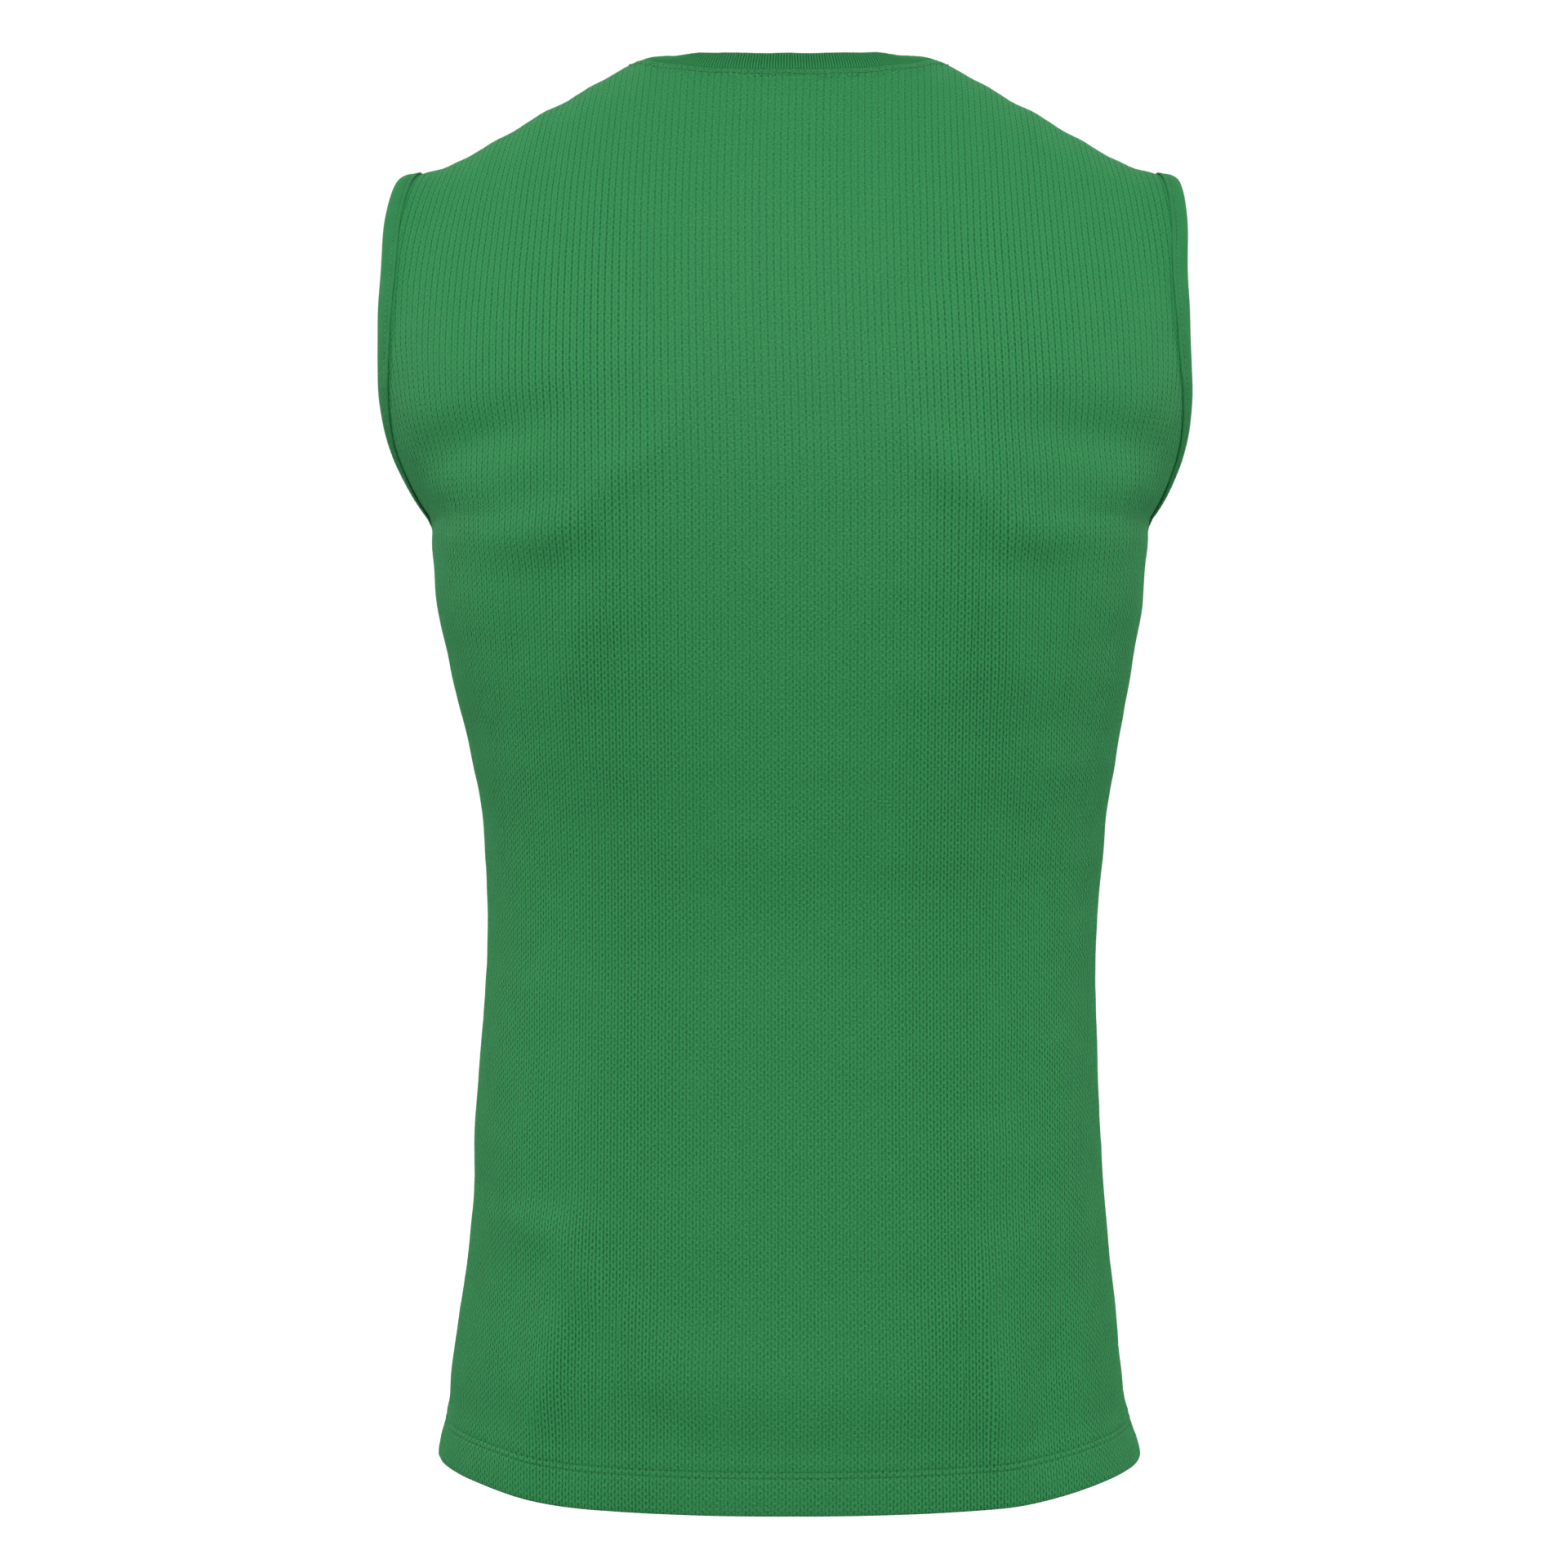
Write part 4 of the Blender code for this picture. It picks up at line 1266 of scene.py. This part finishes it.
class Bench:
    """Where the nodes of a material or of the sky are made and joined."""

    def __init__(self, owner: bpy.types.Material | bpy.types.World, shader: str) -> None:
        """Starts on an owner of nodes, with its last shader's name."""
        self.owner = owner
        self.owner.use_nodes = True
        self.tree = self.owner.node_tree
        self.shader = self.tree.nodes[shader]

    @classmethod
    def material(cls, name: str) -> "Bench":
        """A new material with a bare Principled shader."""
        return cls(bpy.data.materials.new(name), "Principled BSDF")

    @classmethod
    def sky(cls, name: str) -> "Bench":
        """A new world with a bare background."""
        return cls(bpy.data.worlds.new(name), "Background")

    def node(self, kind: str, settings: dict, inputs: dict) -> bpy.types.Node:
        """Adds any node.

        Args:
            kind: the node's type.
            settings: its properties, which are set first.
            inputs: a value or a wire for each socket, by name or number.

        Returns:
            The node.
        """
        made = self.tree.nodes.new(kind)
        for name, value in settings.items():
            setattr(made, name, value)
        self.join(made, inputs)
        return made

    def join(self, node: bpy.types.Node, inputs: dict) -> None:
        """Sets or links sockets of a node."""
        for key, value in inputs.items():
            if isinstance(value, Wire):
                self.tree.links.new(value.socket, node.inputs[key])
            else:
                node.inputs[key].default_value = value

    def math(self, operation: str, *values: "Wire | float") -> Wire:
        """A Math node's result."""
        made = self.node("ShaderNodeMath", {"operation": operation}, dict(enumerate(values)))
        return Wire(self, made.outputs[0])

    def cloth_place(self, uv_map: str = CLOTH_UV) -> tuple[Wire, Wire, Wire]:
        """The place on the cloth, in metres: as a vector, across and up."""
        place = self.node("ShaderNodeUVMap", {"uv_map": uv_map}, {})
        vector = Wire(self, place.outputs["UV"])
        across, up, _ = self.parts(vector)
        return vector, across, up

    def parts(self, vector: Wire) -> tuple[Wire, Wire, Wire]:
        """A vector's x, y and z."""
        made = self.node("ShaderNodeSeparateXYZ", {}, {"Vector": vector})
        return tuple(Wire(self, made.outputs[axis]) for axis in "XYZ")

    def seen_by_camera(self) -> Wire:
        """1 for the camera's own rays, 0 for the rest."""
        return Wire(self, self.node("ShaderNodeLightPath", {}, {}).outputs["Is Camera Ray"])

    def solid_place(self) -> Wire:
        """The place in the shirt, in metres."""
        return Wire(self, self.node("ShaderNodeTexCoord", {}, {}).outputs["Object"])

    def noise(self, place: Wire, waves_a_metre: float, detail: float) -> Wire:
        """Soft noise from 0 to 1."""
        inputs = {"Vector": place, "Scale": waves_a_metre, "Detail": detail, "Roughness": 0.55}
        return Wire(self, self.node("ShaderNodeTexNoise", {}, inputs).outputs["Fac"])

    def ramp(self, value: Wire, low: float, high: float) -> Wire:
        """An even ease from 0 at low to 1 at high."""
        settings = {"interpolation_type": "SMOOTHSTEP"}
        inputs = {"Value": value, "From Min": low, "From Max": high}
        return Wire(self, self.node("ShaderNodeMapRange", settings, inputs).outputs["Result"])

    def blend(self, share: Wire | float, first: "Wire | tuple", second: "Wire | tuple") -> Wire:
        """A colour between two others."""
        settings = {"data_type": "RGBA"}
        made = self.node("ShaderNodeMix", settings, {0: share, 6: first, 7: second})
        return Wire(self, made.outputs[2])

    def bump(self, height: Wire, depth: float, strength: float) -> Wire:
        """The normal over small bumps of this depth in metres."""
        inputs = {"Height": height, "Distance": depth, "Strength": strength}
        return Wire(self, self.node("ShaderNodeBump", {}, inputs).outputs["Normal"])

    def finish(self, inputs: dict) -> bpy.types.Material | bpy.types.World:
        """Sets the shader's sockets and gives back the material or the sky."""
        self.join(self.shader, inputs)
        return self.owner


Colour = tuple[float, float, float, float]


def knit_nap(weight: float) -> dict:
    """The faint gloss and green sheen of knit polyester, with this much sheen."""
    return {
        "Specular IOR Level": 0.12,
        "Sheen Weight": weight,
        "Sheen Roughness": 0.30,
        "Sheen Tint": (0.10, 1.0, 0.30, 1.0),
    }


@dataclass(frozen=True)
class MeshKnit:
    """Light polyester knit: furrows between its wales, with small pits in a brick pattern, both painted
    darker as their shade.
    """

    name: str
    cloth: Colour = (0.0210, 0.1800, 0.0560, 1.0)
    lit: Colour = (0.0370, 0.2820, 0.0880, 1.0)
    # Ground painted lighter toward the sides, to offset the painted pit shade there.
    side_lift: Colour = (0.0440, 0.3400, 0.1060, 1.0)
    # Painted shade of the pits and furrows.
    pit_shade: Colour = (0.0040, 0.0560, 0.0170, 1.0)
    wale: float = 0.0034
    course: float = 0.0031
    furrow_half_width: float = 0.00048
    wander: float = 0.0005
    depth: float = 0.00085
    stitch_pitch: float = 0.0031

    def furrow(self, bench: Bench, u: Wire, shift: float) -> Wire:
        """The furrows between the wales, 1 at their bottom."""
        aside = bench.math("ABSOLUTE", bench.math("FRACT", u * (1 / self.wale) + shift) - 0.5)
        return 1 - bench.ramp(aside * self.wale, 0.00008, self.furrow_half_width)

    def beads(self, bench: Bench, v: Wire) -> Wire:
        """The courses, 1 where the furrows are deepest."""
        return bench.math("COSINE", v * (2 * math.pi / self.course)) * 0.5 + 0.5

    def covering(self, bench: Bench) -> Wire:
        """The braided bumps of the seam that covers the neck's allowance."""
        _, along, away = bench.cloth_place(NECK_UV)
        turn = (along + away * 0.5) * (2 * math.pi / self.stitch_pitch)
        inside = bench.ramp(away, 0.0004, 0.0014) * (1 - bench.ramp(away, 0.0046, 0.0060))
        return bench.math("SINE", turn) * inside

    def material(self) -> bpy.types.Material:
        """Makes the knit."""
        bench = Bench.material(self.name)
        place, u, v = bench.cloth_place()
        solid_x, _, solid_z = bench.parts(bench.solid_place())
        u = u + (bench.noise(place, 330.0, 2.0) - 0.5) * self.wander
        v = v + (bench.noise(place, 270.0, 2.0) - 0.5) * (2.5 * self.wander)
        beads = self.beads(bench, v)
        low = 1 - bench.ramp(solid_z, -0.42, -0.10)
        aside = bench.math("ABSOLUTE", solid_x)
        # This mask grows from the middle toward the sides: the pits, with their painted shade, grow
        # there, and the ground is painted lighter there to offset that shade.
        toward_sides = 0.42 + bench.ramp(aside, 0.030, 0.125) * 0.58
        main = self.furrow(bench, u, 0.0) * (0.30 + 0.70 * beads)
        between = self.furrow(bench, u, 0.5) * (1 - beads) * (0.30 + 0.70 * low)
        patches = bench.ramp(bench.noise(place, 75.0, 3.0), 0.25, 0.70)
        # The pit mask sets the bump and the roughness, and also the painted shade of the pits in the
        # base colour.
        pits_and_shade = bench.math("MAXIMUM", main, between) * (0.75 + 0.25 * patches) * toward_sides
        grain = bench.noise(place, 1050.0, 2.0)
        tone = bench.blend(bench.ramp(grain, 0.34, 0.68), self.cloth, self.lit)
        # Ground painted lighter toward the sides, offsetting the painted pit shade there.
        tone = bench.blend(toward_sides * 0.34, tone, self.side_lift)
        height = grain * 0.45 - pits_and_shade + self.covering(bench) * 0.45
        # Base Color: the pits and furrows are painted darker as their shade, more so lower down.
        return bench.finish({
            "Base Color": bench.blend(pits_and_shade * (0.66 + 0.24 * low), tone, self.pit_shade),
            "Roughness": 0.56 + 0.20 * pits_and_shade,
            "Normal": bench.bump(height, self.depth, 1.0),
            **knit_nap(0.35),
        })


@dataclass(frozen=True)
class PlainKnit:
    """Smooth plain knit of the bindings."""

    name: str
    cloth: Colour = (0.0250, 0.2120, 0.0650, 1.0)
    lit: Colour = (0.0330, 0.2520, 0.0790, 1.0)
    wale_pitch: float = 0.0009

    def material(self) -> bpy.types.Material:
        """Makes the knit."""
        bench = Bench.material(self.name)
        place, u, _ = bench.cloth_place()
        wale = bench.math("SINE", u * (2 * math.pi / self.wale_pitch))
        grain = bench.noise(place, 1300.0, 3.0)
        soft = bench.noise(place, 90.0, 2.0)
        tone = bench.blend(bench.ramp(grain * 0.5 + soft * 0.5, 0.30, 0.72), self.cloth, self.lit)
        return bench.finish({
            "Base Color": tone,
            "Roughness": 0.58 + 0.12 * grain,
            "Normal": bench.bump(grain + wale * 0.2, 0.00025, 0.5),
            **knit_nap(0.35),
        })


@dataclass(frozen=True)
class RibKnit:
    """Fine rib knit of the collar; its ribs are in the band's own shape, with painted shade darkening
    the furrows between them.
    """

    name: str
    rib_pitch: float
    cloth: Colour = (0.0260, 0.2180, 0.0670, 1.0)
    # Painted shade in the furrows between the ribs.
    furrow: Colour = (0.0040, 0.0560, 0.0170, 1.0)
    lit: Colour = (0.0340, 0.2620, 0.0820, 1.0)

    def material(self) -> bpy.types.Material:
        """Makes the rib."""
        bench = Bench.material(self.name)
        place, u, _ = bench.cloth_place()
        ridge = bench.math("COSINE", u * (2 * math.pi / self.rib_pitch))
        grain = bench.noise(place, 1400.0, 3.0)
        tone = bench.blend(bench.ramp(grain, 0.30, 0.72), self.cloth, self.lit)
        # The furrows between the ribs are painted darker as their shade.
        colour = bench.blend((1 - bench.ramp(ridge, -0.95, 0.15)) * 0.8, tone, self.furrow)
        return bench.finish({
            "Base Color": colour,
            "Roughness": 0.68 + 0.1 * grain,
            "Normal": bench.bump(grain, 0.0002, 0.5),
            **knit_nap(0.30),
        })


@dataclass(frozen=True)
class SewingThread:
    """Spun polyester thread, a little brighter than the cloth."""

    name: str
    thread: Colour = (0.0400, 0.2750, 0.0920, 1.0)
    shade: Colour = (0.0240, 0.1900, 0.0600, 1.0)

    def material(self) -> bpy.types.Material:
        """Makes the thread."""
        bench = Bench.material(self.name)
        twist = bench.noise(bench.solid_place(), 2600.0, 2.0)
        return bench.finish({
            "Base Color": bench.blend(bench.ramp(twist, 0.35, 0.65), self.shade, self.thread),
            "Roughness": 0.45 + 0.15 * twist,
            "Specular IOR Level": 0.45,
            "Sheen Weight": 0.15,
        })


class SoftLight(NamedTuple):
    """An area light: where it hangs, where it points, its size and its power."""

    name: str
    place: tuple[float, float, float]
    target: tuple[float, float, float]
    width: float
    height: float
    watts: float


LIGHTS = (
    SoftLight("high_front", (0.0, 2.7, 1.6), (0.0, 0.0, -0.38), 2.2, 1.1, 76.0),
    SoftLight("front", (0.0, 3.2, -0.2), (0.0, 0.0, -0.38), 2.4, 2.0, 8.0),
    SoftLight("left_side", (2.3, -0.5, 0.3), (0.0, 0.0, -0.46), 0.8, 1.6, 24.0),
    SoftLight("right_side", (-2.3, -0.5, 0.3), (0.0, 0.0, -0.46), 0.8, 1.6, 21.0),
    SoftLight("left_rim", (1.5, -2.0, 2.2), (0.0, 0.0, -0.38), 1.2, 1.2, 4.0),
    SoftLight("right_rim", (-1.5, -2.0, 2.2), (0.0, 0.0, -0.38), 1.2, 1.2, 4.0),
)


@dataclass
class Studio:
    """The pale floor, the soft lights and the camera at the photograph's angle."""

    floor_z: float = -0.98
    floor_size: float = 40.0
    floor_glow: float = 1.0
    camera_place: tuple[float, float, float] = (0.0025, 1.54, -0.366)
    lens: float = 69.58
    sensor: float = 36.0
    near_sky: float = 0.55
    far_sky: float = 0.40
    shown_sky: float = 1.05

    def build(self) -> None:
        """Sets the studio up."""
        self.lay_floor()
        self.light()
        self.place_camera()

    def lay_floor(self) -> None:
        """A wide pale floor, well under the hem."""
        bpy.ops.object.select_all(action="DESELECT")
        bpy.ops.mesh.primitive_grid_add(x_subdivisions=8, y_subdivisions=8, size=self.floor_size)
        floor = bpy.context.object
        floor.name = "pale_floor"
        floor.data.transform(Matrix.Translation((0.0, 0.0, self.floor_z)))
        bench = Bench.material("pale_floor")
        mottle = bench.noise(bench.solid_place(), 3.0, 2.0)
        tone = bench.blend(mottle, (0.34, 0.34, 0.34, 1.0), (0.36, 0.36, 0.36, 1.0))
        seen = bench.seen_by_camera()
        glow = bench.blend(seen, (0.0, 0.0, 0.0, 1.0), (1.0, 1.0, 1.0, 1.0))
        glowing = {"Emission Color": glow, "Emission Strength": self.floor_glow}
        floor.data.materials.append(bench.finish({"Base Color": tone, "Roughness": 0.9, **glowing}))

    def light(self) -> None:
        """A white sky and soft area lights."""
        scene = bpy.context.scene
        bench = Bench.sky("white_studio")
        place = Wire(bench, bench.node("ShaderNodeTexCoord", {}, {}).outputs["Generated"])
        _, ahead, _ = bench.parts(place)
        near = bench.ramp(ahead, 0.0, 0.8) * self.near_sky
        far = bench.ramp(0 - ahead, 0.0, 0.8) * self.far_sky
        seen = bench.seen_by_camera()
        light = (near + far) * (1 - seen) + seen * self.shown_sky
        scene.world = bench.finish({"Color": (1.0, 1.0, 1.0, 1.0), "Strength": light})
        for row in LIGHTS:
            lamp = bpy.data.lights.new(row.name, "AREA")
            lamp.shape = "RECTANGLE"
            lamp.size = row.width
            lamp.size_y = row.height
            lamp.energy = row.watts
            held = bpy.data.objects.new(row.name, lamp)
            held.visible_camera = False
            held.location = row.place
            way = Vector(row.target) - Vector(row.place)
            held.rotation_euler = way.to_track_quat("-Z", "Y").to_euler()
            scene.collection.objects.link(held)
        scene.view_settings.view_transform = "Standard"

    def place_camera(self) -> None:
        """Looks along -Y at the shirt's back."""
        lens = bpy.data.cameras.new("photo_camera")
        lens.lens = self.lens
        lens.sensor_width = self.sensor
        camera = bpy.data.objects.new("photo_camera", lens)
        camera.location = self.camera_place
        camera.rotation_euler = (math.pi / 2, 0.0, math.pi)
        bpy.context.scene.collection.objects.link(camera)
        bpy.context.scene.camera = camera


def outer_faces(panels: dict) -> BVHTree:
    """A search tree over the outer faces of both panels."""
    points = []
    faces = []
    for panel in panels.values():
        faces.append(panel.face_quads() + sum(len(block) for block in points))
        points.append(panel.points.reshape(-1, 3))
    return BVHTree.FromPolygons(np.concatenate(points).tolist(), np.concatenate(faces).tolist())


def sew_hems(panels: dict, thread: bpy.types.Material) -> dict:
    """Sews the twin rows of coverstitch along each hem.

    Args:
        panels: the body panels by side.
        thread: the thread's material.

    Returns:
        The stitch pieces by side.
    """
    sewn = {}
    for side, panel in panels.items():
        row = StitchRow(
            name=f"{panel.node}_hem_stitches",
            slot=panel.slot,
            pitch=0.0032,
            length=0.0026,
            width=0.00050,
            height=0.00050,
            seed=panel.seed + 40,
        )
        sewn[side] = row.sew([panel.hem_path(height) for height in HEM_STITCH_HEIGHTS], thread)
    return sewn


def closed_line(points: np.ndarray, normals: np.ndarray) -> tuple:
    """A line that ends where it starts."""
    return np.concatenate([points, points[:1]]), np.concatenate([normals, normals[:1]])


def main() -> None:
    """Builds the shirt's pieces in order, then the studio."""
    form = ShirtForm()
    panels = {
        Side.BACK: BodyPanel(form, Side.BACK, "back_panel", "back_knit", (0.500, 0.745), 0.3050, 11),
        Side.FRONT: BodyPanel(form, Side.FRONT, "front_panel", "front_knit", (0.500, 0.745), 0.2950, 23),
    }
    knits = {side: MeshKnit(f"{panel.node}_mesh_knit").material() for side, panel in panels.items()}
    thread = SewingThread("sewing_thread").material()
    for panel in panels.values():
        panel.build()
    seat = outer_faces(panels)
    hems = sew_hems(panels, thread)
    for side, panel in panels.items():
        piece = panel.dress(knits[side])
    plain = PlainKnit("binding_plain_knit").material()
    for hand, node, slot, seed in (
        (Hand.LEFT, "left_armhole_binding", "left_binding_knit", 3),
        (Hand.RIGHT, "right_armhole_binding", "right_binding_knit", 5),
    ):
        binding = ArmholeBinding(form, hand, node, slot, seed)
        binding.build(panels, seat)
        piece = binding.dress(plain)
        pitch = binding.stitch_pitch
        stitches = StitchRow(f"{node}_stitches", slot, pitch, 0.0019, 0.00055, 0.00045, seed + 60)
        row = stitches.sew([closed_line(binding.stitch_path, binding.loop.normals)], thread)
    collar = RibCollar(form, "rib_collar", "collar_rib")
    collar.build(panels, seat)
    piece = collar.dress(RibKnit("collar_rib_knit", collar.loop.length / collar.ribs).material())
    topstitch = StitchRow("collar_topstitches", "collar_rib", 0.0030, 0.0023, 0.00055, 0.00045, 77)
    row = topstitch.sew([closed_line(collar.stitch_path, collar.stitch_normals)], thread)
    Studio().build()


if __name__ == "__main__":
    logging.basicConfig(level=logging.INFO, format="%(message)s")
    main()
